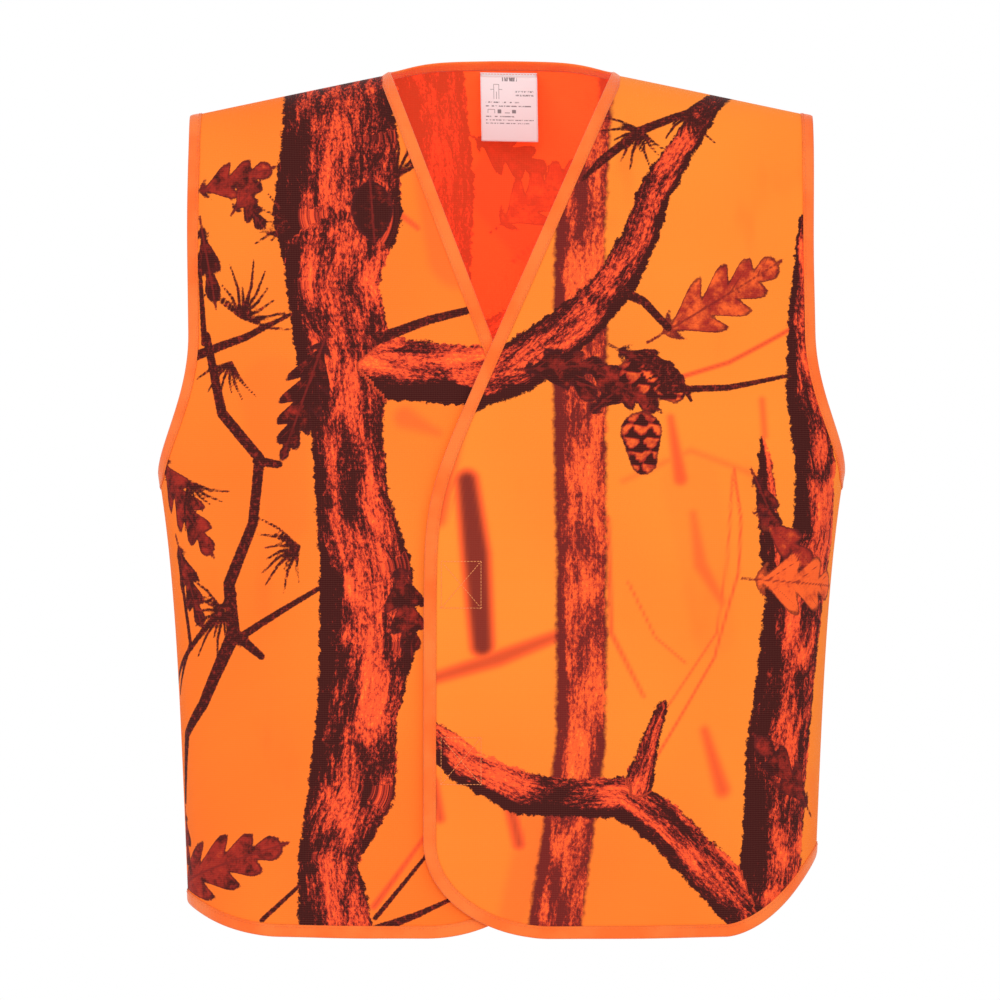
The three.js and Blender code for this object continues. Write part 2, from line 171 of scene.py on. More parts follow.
# %% [markdown]
# Real cloth never follows a form exactly. A few long shallow waves, strongest towards the hem and
# still at the seams, give each panel its own hang. They are sums of sines of fixed phase, which is
# enough for a light cloth that hangs nearly flat, and is the same on every run.

# %% Hang of the cloth
PHASES = {"left": 0.4, "right": 2.1, "back": 4.0}
# height in mm, lengths across and down over 2 pi, how often the panel's phase counts
WAVES = ((2.6, 27, 210, 1), (1.6, 14.5, -120, 2), (1.9, 60, 75, 3), (0.7, 33, -38, 1))
SEAM_HOLD, SHOULDER_HOLD, WAVES_START_Z, WAVES_RUN = 0.22, 130, -120, 420


def hang(psi, z, panel):
    across = (psi - math.pi if panel == "back" else psi) / (math.pi / 2)
    x = half_width(z) * np.sin(psi)
    still = smooth((1 - np.abs(across)) / SEAM_HOLD) * smooth((ridge(x) - z) / SHOULDER_HOLD)
    low = smooth((WAVES_START_Z - z) / WAVES_RUN)
    shares = (low, low ** 2, 1 - 0.5 * low, 1)
    wave = sum(height * share * np.sin(x / wide + z / tall + turns * PHASES[panel])
               for share, (height, wide, tall, turns) in zip(shares, WAVES))
    # the closure holds the overlap flat, and the lower front a little further in
    if panel == "left":
        still = still * (0.35 + 0.65 * smooth((x - 20) / 60))
    if panel == "right":
        still = still * (0.25 + 0.75 * smooth((-x - 60) / 50))
        return still * wave - 0.4 * smooth((x + 70) / 40)
    return still * wave


def cloth_point(psi, z, panel, offset=0.0):
    lift = left_lift(half_width(z) * np.sin(psi), z) if panel == "left" else 0.0
    out = np.asarray(lift + hang(psi, z, panel) + offset)
    return skin(psi, z) + skin_normal(psi, z) * out[..., None]


# %% [markdown]
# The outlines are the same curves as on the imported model: the V runs into an upright free edge with
# a round lower corner, the hem climbs to the side seams, and the armholes are long ovals.

# %% Outlines
def side_of(panel):
    return SIDE.get(panel, 1)


def hem_line(psi):
    rise = np.where(np.sin(psi) > 0, HEM_RISE["left"], HEM_RISE["right"])
    return HEM_Z + rise * np.maximum(0, 1 - (fullness(np.sin(psi)) / HEM_ARCH) ** 2) ** 1.5


def softplus(t):
    return EDGE_SOFTNESS * np.log1p(np.exp(t / EDGE_SOFTNESS))


def front_edge(z, overlap):
    run = softplus(ridge(float(NECK_HALF)) - CLOSURE_TOP_Z)
    reach = -overlap + (NECK_HALF + overlap) / run * softplus(z - CLOSURE_TOP_Z)
    below = np.clip((HEM_Z + CORNER_HEIGHT - z) / CORNER_HEIGHT, 0, 1)
    return reach + CORNER_WIDTH * (1 - np.sqrt(1 - below ** 2))


def armhole_psi(z):
    t = np.clip((ARM_WIDEST_Z - z) / (ARM_WIDEST_Z - UNDERARM_Z), 0, 1)
    return np.arcsin(fullness(ARM_SHARE * np.sqrt(1 - t ** 2)))


def neckline(x):
    reach = NECK_REACH * np.sqrt(np.maximum(0, 1 - (x / NECK_HALF) ** 2))
    share = reach / (BACK_DEPTH * fullness(x / YOKE_HALF))
    return ridge(x) - ROLL * (1 - np.sqrt(1 - share ** 2))


def back_top(x):
    return np.where(np.abs(x) < NECK_HALF, neckline(x), ridge(x))


print("half width at the underarm, mm:", float(half_width(np.array(UNDERARM_Z))))

# %% [markdown]
# A panel is a grid of rows from the hem to the shoulder and columns from the front edge to the
# side seam. Rows are close where the shoulder rolls over and where a corner is round. The print is
# painted on the flat cloth, so each point also keeps its place there: its girth from the centre,
# measured along the section, and its height, measured over the shoulder.

# %% Panel grids
MEAN_HALF, MEAN_DEPTH, ROLL_DEPTH = 262, 104, 75


def run_along(places):
    """The length from the first place to each place of a row."""
    return np.concatenate([[0], np.cumsum(np.linalg.norm(np.diff(places, axis=0), axis=1))])


table_psi = np.linspace(0, math.pi / 2, 400)
table_xy = np.stack([np.sin(table_psi) * MEAN_HALF, MEAN_DEPTH * fullness(np.sin(table_psi))], -1)
table_arc = run_along(table_xy) / MEAN_HALF
roll_angle = np.linspace(0, math.pi / 2, 200)
roll_step = np.hypot(ROLL * np.sin(roll_angle), ROLL_DEPTH * np.cos(roll_angle)) * roll_angle[1]
roll_arc = np.concatenate([[0], np.cumsum(0.5 * (roll_step[1:] + roll_step[:-1]))])


def flat_place(psi, z, panel):
    """Girth and height on the flat cloth. The back is measured from centre back."""
    turn = math.pi - psi if panel == "back" else psi
    girth = np.sign(turn) * np.interp(np.abs(turn), table_psi, table_arc) * half_width(z)
    x = half_width(z) * np.sin(psi)
    drop = np.clip(ridge(x) - z, 0, ROLL)
    over = roll_arc[-1] - np.interp(np.arccos(1 - drop / ROLL), roll_angle, roll_arc)
    return np.stack([girth, np.where(drop < ROLL, ridge(x) - ROLL + over, z)], -1)


ROW_POWER, COLUMN_POWER, SETTLES = 1.25, 1.12, 44


def row_shares(body_rows, shoulder_rows):
    roll_share = ROLL / (float(ridge(float(NECK_HALF))) - HEM_Z)
    shoulder = roll_share * (1 - np.cos(np.linspace(0, math.pi / 2, shoulder_rows, endpoint=False)))
    body = 1 - (1 - roll_share) * (1 - np.linspace(0, 1, body_rows)) ** ROW_POWER
    return np.concatenate([shoulder, body])[::-1]


def row_height(psi, share, top):
    z = np.full(np.shape(psi), HEM_Z / 2.0)
    for _ in range(14):
        x = half_width(z) * np.sin(psi)
        z = top(x) + (hem_line(psi) - top(x)) * share
    return z


def outer_psi(shares, top, side):
    psi = np.full(shares.shape, math.pi / 2)
    for _ in range(40):
        z = row_height(side * psi, shares, top)
        psi = (psi + np.where(z <= UNDERARM_Z, math.pi / 2, armhole_psi(z))) / 2
    return psi


def inner_psi(shares, overlap, side):
    low = np.full(shares.shape, float(HEM_Z))
    high = np.full(shares.shape, float(ridge(float(NECK_HALF))))
    for _ in range(SETTLES):
        z = (low + high) / 2
        u = front_edge(z, overlap)
        row = ridge(u) + (hem_line(side * psi_of(u, z)) - ridge(u)) * shares
        low, high = np.where(z < row, z, low), np.where(z < row, high, z)
    z = (low + high) / 2
    return psi_of(front_edge(z, overlap), z)


def front_grid(panel, columns, rows):
    side = SIDE[panel]
    shares = row_shares(rows, rows // 3)
    inner, outer = inner_psi(shares, OVERLAP[panel], side), outer_psi(shares, ridge, side)
    t = (1 - np.linspace(0, 1, columns)) ** COLUMN_POWER
    psi = outer[:, None] + (inner - outer)[:, None] * t[None, :]
    psi = side * (psi if side > 0 else psi[:, ::-1])
    return psi, row_height(psi, shares[:, None] + 0 * psi, ridge)


def back_grid(columns, rows):
    shares = row_shares(rows, rows // 3)
    neck = float(psi_of(NECK_HALF, ridge(float(NECK_HALF))))
    outer = outer_psi(shares, back_top, 1)
    near = np.linspace(0, 1, columns // 4)[None, :] * neck
    t = (1 - np.linspace(0, 1, columns - columns // 4 + 1)[1:]) ** COLUMN_POWER
    far = outer[:, None] + (neck - outer)[:, None] * t[None, :]
    half = np.concatenate([near + 0 * outer[:, None], far], 1)
    psi = np.concatenate([math.pi - half[:, :0:-1], math.pi + half], 1)
    return psi, row_height(psi, shares[:, None] + 0 * psi, back_top)

# %% [markdown]
# The print is a winter wood: trunks, limbs, thin branches, needles, oak leaves and cones in dark
# ink on the orange ground. A picture can't be used, so each shape is drawn as a stroke or a leaf on
# the flat cloth and stored as a distance at every point of the mesh. A distance changes evenly, so
# the shader can cut a crisp edge through it, and add bark and veins that the mesh is too coarse for.

# %% Print shapes, in millimetres from centre front and the shoulder
TRUNKS = {
    "right": [[(-134, 40, 80), (-129, -30, 94), (-130, -88, 104), (-134, -144, 73), (-124, -201, 77),
               (-122, -258, 57), (-118, -314, 59), (-107, -371, 74), (-106, -428, 77),
               (-114, -484, 65), (-118, -541, 71), (-137, -598, 50), (-130, -664, 64)],
              [(-112, -208, 58), (-76, -212, 48), (-40, -216, 48), (-10, -216, 46), (60, -222, 44)]],
    "left": [[(-60, -238, 30), (-26, -226, 40), (14, -210, 42), (46, -186, 40), (70, -166, 34),
              (94, -138, 32), (110, -106, 29), (122, -70, 27), (142, -38, 22), (158, -14, 20),
              (186, 22, 17)],
             [(-100, -470, 22), (-66, -493, 25), (-26, -526, 30), (14, -546, 34), (46, -550, 30),
              (94, -550, 33), (126, -570, 36), (158, -602, 38), (198, -642, 42), (220, -668, 44)],
             [(104, -550, 26), (117, -506, 15), (127, -478, 9)],
             [(240, -90, 6), (236, -174, 20), (238, -230, 30), (250, -294, 44), (250, -342, 50),
              (236, -390, 60), (228, -454, 56), (221, -518, 60), (219, -574, 60), (212, -664, 62)],
             [(206, -266, 4), (209, -290, 13), (211, -326, 17), (216, -372, 20), (224, -410, 24)]],
    "back": [[(-60, 40, 56), (-48, -60, 52), (-56, -180, 58), (-44, -300, 50), (-60, -430, 64),
              (-52, -560, 60), (-66, -670, 70)],
             [(-50, -210, 40), (20, -170, 34), (80, -110, 28), (120, -40, 22), (170, 30, 16)],
             [(196, 70, 26), (200, -40, 30), (190, -170, 34), (206, -320, 40), (196, -470, 46),
              (214, -670, 58)],
             [(200, -420, 34), (130, -480, 30), (70, -520, 24), (30, -590, 16), (16, -680, 9)],
             [(-250, -120, 34), (-240, -300, 44), (-262, -480, 48), (-250, -670, 56)],
             [(-245, -330, 30), (-180, -280, 22), (-130, -250, 12), (-96, -214, 6), (-70, -160, 3)]],
}
# trunks and limbs that are mostly in shadow: added to the share of their width before shading
SHADE = {"left": {1: -0.2, 3: -0.3, 4: -0.9}, "right": {1: -0.3}, "back": {0: -0.15, 3: -0.2}}
FAR_TRUNKS = {
    "right": [],
    "left": [[(74, 10, 30), (66, -60, 36), (62, -110, 40), (62, -190, 43), (62, -270, 42),
              (63, -350, 40), (63, -430, 40), (62, -510, 39), (54, -566, 40), (40, -664, 43)]],
    "back": [[(96, 40, 34), (100, -200, 38), (92, -420, 40), (98, -670, 44)],
             [(-160, 40, 28), (-156, -260, 34), (-166, -670, 38)]],
}
TWIGS = {
    "right": [[(-234, -185, 7), (-222, -246, 9), (-192, -282, 9), (-198, -334, 9), (-218, -382, 11),
               (-214, -422, 13), (-238, -478, 10), (-250, -502, 8), (-252, -556, 6)],
              [(-194, -284, 8), (-176, -287, 6)], [(-214, -420, 10), (-190, -439, 6)],
              [(-214, -390, 6), (-258, -462, 4)], [(-214, -428, 7), (-144, -385, 4)],
              [(-98, -188, 9), (-58, -173, 7), (-26, -165, 6)],
              [(-242, -200, 8), (-202, -186, 6), (-166, -168, 3)],
              [(-190, -648, 4), (-160, -620, 3)], [(-99, -645, 4), (-58, -594, 2)],
              [(-98, -654, 8), (-66, -642, 5), (-38, -629, 3)], [(-236, -190, 6), (-240, -120, 3)],
              [(-258, -360, 4), (-248, -430, 4), (-256, -470, 3)]],
    "left": [[(64, -62, 3), (80, -46, 7), (110, -22, 8), (150, -6, 7), (182, 10, 7)],
             [(94, -150, 9), (112, -158, 7), (132, -179, 6)],
             [(128, -228, 6), (180, -226, 5), (228, -216, 3)],
             [(116, -200, 7), (138, -214, 6), (150, -236, 3)]],
    "back": [[(-120, -60, 7), (-100, -130, 8), (-60, -160, 9)],
             [(150, -250, 8), (120, -330, 6), (130, -420, 4)],
             [(-200, -380, 8), (-140, -420, 6), (-110, -480, 4)],
             [(20, -300, 6), (60, -340, 5), (120, -350, 3)],
             [(-20, -620, 7), (30, -600, 5), (90, -630, 3)],
             [(-250, -60, 7), (-210, -30, 6), (-170, -40, 3)],
             [(240, -200, 6), (270, -260, 5), (262, -330, 3)]],
}
# needle bundles: base x, z, direction in degrees, spread, length, count
NEEDLES = {
    "right": [(-206, -170, 60, 160, 46, 13), (-160, -352, 200, 120, 42, 11),
              (-222, -404, 210, 150, 44, 12),
              (-214, -206, 250, 110, 34, 8), (-250, -300, 300, 90, 40, 8), (-168, -100, 160, 90, 34, 7),
              (-84, -60, 60, 60, 60, 6)],
    "left": [(112, -22, 230, 150, 36, 12), (150, -8, 260, 120, 34, 9), (138, -214, 190, 80, 40, 7)],
    "back": [(-110, -100, 200, 140, 44, 11), (130, -390, 250, 140, 44, 11),
             (-130, -440, 220, 140, 42, 10),
             (100, -345, 20, 120, 40, 9), (60, -615, 40, 130, 40, 9), (-200, -32, 80, 130, 40, 9),
             (268, -300, 260, 120, 40, 9), (20, -170, 250, 100, 40, 8)],
}
# leaves: stem x, z, tip x, z, half width, lobes, ink (1 is darkest)
LEAVES = {
    "right": [(-254, -626, -168, -586, 24, 4.5, 0.72), (-272, -282, -230, -362, 19, 4.5, 0.8),
              (-240, -70, -178, -50, 16, 3.5, 0.75), (-140, -190, -174, -284, 19, 5.0, 1.0),
              (-238, -98, -226, -164, 11, 2.5, 1.0), (-212, -86, -190, -60, 11, 2.5, 0.8),
              (-206, -76, -186, -102, 9, 2.5, 0.95), (-258, -352, -238, -420, 12, 3.5, 0.85),
              (-104, -62, -100, -112, 17, 0.0, 1.0), (-80, -368, -70, -440, 17, 3.5, 0.9),
              (-252, -566, -250, -612, 10, 2.5, 0.8)],
    "left": [(128, -183, 224, -124, 24, 4.5, 0.45), (64, -206, 128, -246, 15, 3.5, 0.9),
             (92, -196, 148, -226, 14, 3.5, 0.95), (70, -246, 120, -204, 13, 2.5, 0.95),
             (18, -212, 84, -208, 15, 3.5, 1.0),
             (34, -196, 78, -240, 12, 2.5, 0.95),
             (202, -378, 262, -384, 26, 3.4, 0.2), (206, -330, 250, -372, 13, 2.6, 0.6),
             (200, -296, 222, -346, 10, 2.5, 0.9), (244, -560, 200, -500, 15, 3.5, 0.85)],
    "back": [(0, -90, 70, -40, 24, 4.5, 0.5), (-150, -200, -220, -160, 22, 4.5, 0.7),
             (150, -320, 110, -400, 22, 4.5, 0.75), (-120, -560, -200, -520, 24, 4.5, 0.6),
             (250, -560, 270, -480, 20, 4.5, 0.8), (10, -470, 60, -420, 20, 3.5, 0.5),
             (-20, -20, 40, -50, 18, 3.5, 0.9), (120, -580, 160, -640, 22, 4.5, 0.8)],
}
CONES = {"right": [], "left": [(111, -262, 113, -284, 17), (104, -216, 138, -230, 13)],
         "back": [(-108, -262, -104, -312, 17)]}
# out-of-focus shapes behind: strokes with a soft edge, and how dark they are
HAZE = {
    "right": [([(-40, -30, 70), (-30, -120, 60)], 0.25, 13),
              ([(-180, -230, 60), (-170, -330, 40)], 0.12, 13),
              ([(-66, -100, 4), (-84, -86, 5), (-92, -60, 4)], 0.55, 5),
              ([(-60, -60, 4), (-74, -40, 4)], 0.5, 5),
              ([(-100, -636, 5), (-60, -580, 3)], 0.6, 5), ([(-76, -250, 20), (-50, -262, 8)], 0.3, 13)],
    "left": [([(-27, -300, 17), (-20, -358, 22), (-15, -430, 18)], 0.95, 13),
             ([(-60, -458, 9), (-2, -440, 13), (50, -420, 9)], 0.62, 11),
             ([(162, -498, 8), (176, -544, 14)], 0.5, 13), ([(-54, -538, 9), (-48, -566, 7)], 0.7, 11),
             ([(6, -552, 9), (14, -586, 10)], 0.7, 11), ([(-40, -250, 26), (-50, -330, 14)], 0.5, 13),
             ([(30, -560, 30), (10, -640, 26)], 0.22, 13), ([(150, -300, 50), (170, -420, 40)], 0.1, 13),
             ([(84, -330, 4), (86, -420, 4), (112, -470, 3)], 0.5, 6),
             ([(128, -222, 3), (180, -206, 3), (228, -180, 3)], 0.72, 5),
             ([(184, -290, 2), (190, -330, 2), (189, -372, 2), (170, -440, 2), (122, -518, 2)], 0.62, 4),
             ([(183, -294, 2), (180, -360, 2), (172, -420, 2), (130, -480, 2), (96, -560, 2)], 0.5, 4),
             ([(100, -380, 2), (122, -424, 2), (146, -444, 2)], 0.5, 4),
             ([(134, -250, 6), (142, -298, 12)], 0.5, 10),
             ([(152, -326, 8), (158, -366, 14), (176, -396, 8)], 0.36, 12),
             ([(206, -236, 6), (208, -264, 6)], 0.42, 9),
             ([(96, -300, 5), (150, -276, 6), (214, -300, 5)], 0.30, 10)],
    "back": [([(20, -300, 30), (30, -380, 24)], 0.5, 13), ([(150, -100, 20), (160, -200, 16)], 0.6, 13),
             ([(-110, -350, 20), (-120, -460, 16)], 0.6, 13), ([(0, -60, 60), (30, -110, 40)], 0.3, 13),
             ([(10, -120, 3), (60, -80, 3), (90, -60, 3)], 0.6, 4),
             ([(120, -500, 3), (170, -440, 3)], 0.6, 4)],
}

# %% [markdown]
# Each kind of shape has its own small function. A stroke is a row of round cones, which gives a
# distance to its edge, a place across and along it for the bark, and tapering for free.

# %% Distances on the flat cloth
FAR_OFF, THINNEST = 60.0, 2.8
SCALE_TALL, SCALE_WIDE = 10.5, 15.0
GROUND_DEPTH = {"left": 0.05, "right": 0.42, "back": 0.3}


def stroke(points, stations):
    """Signed distance to a tapering stroke, and the place across and along it, in mm and as a share."""
    best = np.full(len(points), np.inf)
    across, along, share = (np.zeros(len(points)) for _ in range(3))
    run = 0.0
    for (ax, az, aw), (bx, bz, bw) in zip(stations[:-1], stations[1:]):
        step = np.array([bx - ax, bz - az], float)
        length = np.linalg.norm(step)
        offset = points - (ax, az)
        t = np.clip(offset @ step / length ** 2, 0, 1)
        near = offset - t[:, None] * step
        radius = 0.5 * (aw + (bw - aw) * t)
        distance = np.linalg.norm(near, axis=1)
        side = np.sign(step[0] * offset[:, 1] - step[1] * offset[:, 0])
        closer = distance - radius < best
        best = np.where(closer, distance - radius, best)
        across = np.where(closer, side * distance, across)
        along = np.where(closer, run + t * length, along)
        share = np.where(closer, side * distance / np.maximum(radius, 1), share)
        run += length
    return best, across, along, share


def leaf(points, shape):
    """Signed distance to a lobed leaf, and the distance to its nearest vein."""
    sx, sz, tx, tz, half, lobes, _ = shape
    axis = np.array([tx - sx, tz - sz], float)
    length = np.linalg.norm(axis)
    axis /= length
    offset = points - (sx, sz)
    u = offset @ axis / length
    v = offset @ np.array([-axis[1], axis[0]])
    inside = np.clip(u, 0, 1)
    body = np.sin(math.pi * inside ** 0.85) ** 0.7
    swept = inside - 0.22 * np.minimum(np.abs(v) / half, 1)
    notch = 1 - 0.62 * (0.5 - 0.5 * np.cos(2 * math.pi * (lobes * swept + 0.25))) ** 2.2 if lobes else 1.0
    edge = half * body * notch
    distance = np.maximum(np.abs(v) - edge, np.maximum(-u, u - 1) * length)
    stalk = np.maximum(np.abs(v) - 1.1, np.maximum(-0.14 - u, u - 1) * length)
    ribs = np.abs((lobes * (inside - np.abs(v) / (2.2 * half)) + 0.1) % 1.0 - 0.5) * length / max(lobes, 1)
    vein = np.minimum(np.abs(v), ribs if lobes else 1e3)
    return np.minimum(distance * 0.75, stalk), vein


def needle_bundle(points, bundle):
    bx, bz, heading, spread_deg, length, count = bundle
    best = np.full(len(points), np.inf)
    for k in range(count):
        turn = math.radians(heading + spread_deg * (k / (count - 1) - 0.5) + 7 * math.sin(5.3 * k))
        reach = length * (0.75 + 0.25 * math.cos(2.7 * k))
        mid = (bx + 0.55 * reach * math.cos(turn), bz + 0.55 * reach * math.sin(turn))
        tip = (bx + reach * math.cos(turn + 0.12), bz + reach * math.sin(turn + 0.12))
        distance, *_ = stroke(points, [(bx, bz, 2.8), (*mid, 2.5), (*tip, 1.4)])
        best = np.minimum(best, distance)
    return best


def as_flat(panel, x, z):
    """Where a point chosen on the front view lies on the flat cloth."""
    x, z = np.asarray(x, float), np.asarray(z, float)
    inside = np.clip(x / half_width(z), -1, 1)
    psi = np.arcsin(inside)
    place = flat_place(psi, np.minimum(z, ridge(x)), "front")
    beyond = x - inside * half_width(z)
    return place[..., 0] + beyond, place[..., 1] + np.maximum(z - ridge(x), 0)


def flat_stations(panel, stations):
    return [(*map(float, as_flat(panel, x, z)), w) for x, z, w in stations]


def bark_field(panel, places, trunks, shadows, apart, start):
    """Distance to the trunks, and where each point is on the bark of its own trunk."""
    wood, bark = np.full(len(places), FAR_OFF), np.zeros((len(places), 3))
    for index, trunk in enumerate(trunks):
        distance, across, along, share = stroke(places, flat_stations(panel, trunk))
        ahead = distance < wood
        wood = np.where(ahead, distance, wood)
        values = np.stack([across + start + apart * index, along, share + shadows.get(index, 0)], 1)
        bark[ahead] = values[ahead]
    return wood, bark


def paint(panel, places):
    """All the print's fields at the given places on the flat cloth."""
    count = len(places)
    wood, bark = bark_field(panel, places, TRUNKS[panel], SHADE[panel], 300, 0)
    far, far_bark = bark_field(panel, places, FAR_TRUNKS[panel], {}, 0, 77)
    twig = np.full(count, FAR_OFF)
    for branch in TWIGS[panel]:
        branch = [(x, z, max(w, THINNEST)) for x, z, w in branch]
        twig = np.minimum(twig, stroke(places, flat_stations(panel, branch))[0])
    for bundle in NEEDLES[panel]:
        x, z = map(float, as_flat(panel, bundle[0], bundle[1]))
        twig = np.minimum(twig, needle_bundle(places, (x, z, *bundle[2:])))
    foliage, vein, ink = np.full(count, FAR_OFF), np.full(count, FAR_OFF), np.zeros(count)
    for shape in LEAVES[panel]:
        sx, sz = map(float, as_flat(panel, shape[0], shape[1]))
        tx, tz = map(float, as_flat(panel, shape[2], shape[3]))
        distance, ribs = leaf(places, (sx, sz, tx, tz, *shape[4:]))
        ahead = distance < foliage
        foliage = np.where(ahead, distance, foliage)
        vein, ink = np.where(ahead, ribs, vein), np.where(ahead, shape[6], ink)
    for ax, az, bx, bz, half in CONES[panel]:
        distance = stroke(places, [(ax, az, 2 * half), (bx, bz, 1.3 * half)])[0]
        down, aside = (az + half - places[:, 1]) / SCALE_TALL, (places[:, 0] - ax) / SCALE_WIDE
        row = np.floor(down)
        u, w = (aside + 0.5 * (row % 2)) % 1.0 - 0.5, down - row
        gape = smooth((w - 0.72 + 3.2 * u ** 2) / 0.25)
        ahead = distance < foliage
        foliage = np.where(ahead, distance, foliage)
        vein, ink = np.where(ahead, FAR_OFF, vein), np.where(ahead, 0.34 + gape, ink)
    # the ground grows redder towards the hem, and on the wearer's right
    deepness = GROUND_DEPTH[panel] + 0.35 * np.clip(-places[:, 1] / 600, 0, 1) ** 2
    haze = np.zeros(count)
    for stations, dark, softness in HAZE[panel]:
        distance = stroke(places, flat_stations(panel, stations))[0]
        haze = np.maximum(haze, dark * smooth(0.5 - distance / softness))
    return {"wood": wood, "bark": bark, "far": far, "far_bark": far_bark, "twig": twig,
            "leaf": foliage, "vein": vein, "leaf_ink": ink, "haze": haze,
            "deepness": deepness}


# %% [markdown]
# A sheet is closed: an outer face, an inner face and a narrow rim, so that it has a real edge and
# both its sides can be coloured. The inner side shows the print faintly and redder, because the ink
# bleeds through thin cloth, so its faces have a second finish.

# %% Making a sheet
CLOTH = 0.7


def new_object(name, points, faces, smooth_faces=True):
    mesh = bpy.data.meshes.new(name)
    points = np.asarray(points, dtype=np.float32) * MM
    faces = np.asarray(faces, dtype=np.int32)
    sides = faces.shape[1]
    mesh.vertices.add(len(points))
    mesh.vertices.foreach_set("co", points.ravel())
    mesh.loops.add(faces.size)
    mesh.loops.foreach_set("vertex_index", faces.ravel())
    mesh.polygons.add(len(faces))
    mesh.polygons.foreach_set("loop_start", np.arange(0, faces.size, sides, dtype=np.int32))
    mesh.polygons.foreach_set("use_smooth", np.full(len(faces), smooth_faces))
    mesh.update(calc_edges=True)
    mesh.validate()
    return placed(name, mesh)


def grid_shell_faces(rows, columns):
    index = np.arange(rows * columns).reshape(rows, columns)
    a, b = index[:-1, :-1].ravel(), index[:-1, 1:].ravel()
    c, d = index[1:, 1:].ravel(), index[1:, :-1].ravel()
    back = rows * columns
    outer = np.stack([a, b, c, d], 1)
    inner = np.stack([a, d, c, b], 1) + back
    rim = np.concatenate([index[0, :], index[1:, -1], index[-1, -2::-1], index[-2:0:-1, 0]])
    following = np.roll(rim, -1)
    edge = np.stack([following, rim, rim + back, following + back], 1)
    return np.concatenate([outer, inner, edge])


def store(mesh, name, values):
    values = np.asarray(values, dtype=np.float32)
    kind = "FLOAT_VECTOR" if values.ndim == 2 else "FLOAT"
    layer = mesh.attributes.new(name, kind, "POINT")
    layer.data.foreach_set("vector" if values.ndim == 2 else "value", values.ravel())


def flat_map(obj, places):
    """The UV map: metres on the flat cloth."""
    corners = np.empty(len(obj.data.loops), dtype=np.int32)
    obj.data.loops.foreach_get("vertex_index", corners)
    layer = obj.data.uv_layers.new(name="cloth")
    layer.data.foreach_set("uv", (places[corners] * MM).astype(np.float32).ravel())


def cloth_sheet(name, panel, psi, z):
    outer = cloth_point(psi, z, panel, CLOTH / 2).reshape(-1, 3)
    inner = cloth_point(psi, z, panel, -CLOTH / 2).reshape(-1, 3)
    obj = new_object(name, np.concatenate([outer, inner]), grid_shell_faces(*psi.shape))
    places = flat_place(psi.ravel(), z.ravel(), panel)
    for field, values in paint(panel, places).items():
        store(obj.data, field, np.concatenate([values, values]))
    flat_map(obj, np.concatenate([places, places]))
    one_side = (psi.shape[0] - 1) * (psi.shape[1] - 1)
    kinds = np.zeros(len(obj.data.polygons), dtype=np.int32)
    kinds[one_side:2 * one_side] = 1
    obj.data.polygons.foreach_set("material_index", kinds)
    size = places.max(0) - places.min(0)
    print(name, "faces", len(obj.data.polygons), "flat mm", size.round())
    return obj, size


front_size = ((165, 285))
back_size = ((190, 240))
sheets = {}
for panel in ("left", "right"):
    psi, z = front_grid(panel, *front_size)
    sheets[panel] = cloth_sheet(f"{panel}_front_cloth", panel, psi, z)
psi, z = back_grid(*back_size)
sheets["back"] = cloth_sheet("back_cloth", "back", psi, z)

# %% [markdown]
# Every edge is bound: a plain tape 9 mm wide is folded round the raw edge and stitched down. It is
# made as its folded profile, swept along the edge. Each corner of the profile is laid back on the
# curved form, so that the tape grips the cloth in the tight bend of an armhole too.

# %% Laying points beside an edge
TAPE_WIDTH, RIDGE_CLEAR, RIDGE_RUN = 9.0, 14, 26
STITCH_IN, TAPE_TOP = 7.2, 1.12
# one leaf of the folded tape, outside and inside: mm into the cloth and mm off it
OUTER_LEAF = [(TAPE_WIDTH, 0.62), (TAPE_WIDTH, 1.0), (STITCH_IN, 0.92), (4.5, TAPE_TOP), (1.2, 1.1),
              (-0.5, 0.75)]
INNER_LEAF = [(4.5, -0.6), (1.0, -0.6), (0.2, -0.3)]
TAPE_PROFILE = (OUTER_LEAF + [(-0.9, 0.0)] + [(a, -o) for a, o in OUTER_LEAF[::-1]]
                + INNER_LEAF + [(a, -o) for a, o in INNER_LEAF[::-1]])


def back_on_form(points):
    """psi and z of the form's point nearest to each point, measured across the section."""
    x, y, z = points[..., 0], points[..., 1], points[..., 2]
    s = np.abs(x) / half_width(z)
    w = np.abs(y) / np.maximum(depth(z, y < 0) * roll(ridge(x) - z), 1.0)
    scale = (s ** SQUARENESS + w ** SQUARENESS) ** (1 / SQUARENESS)
    folded = np.arcsin(np.clip(s / np.maximum(scale, 1e-6), 0, 1)) * np.where(x < 0, -1, 1)
    return np.where(y < 0, folded, math.pi - folded), z


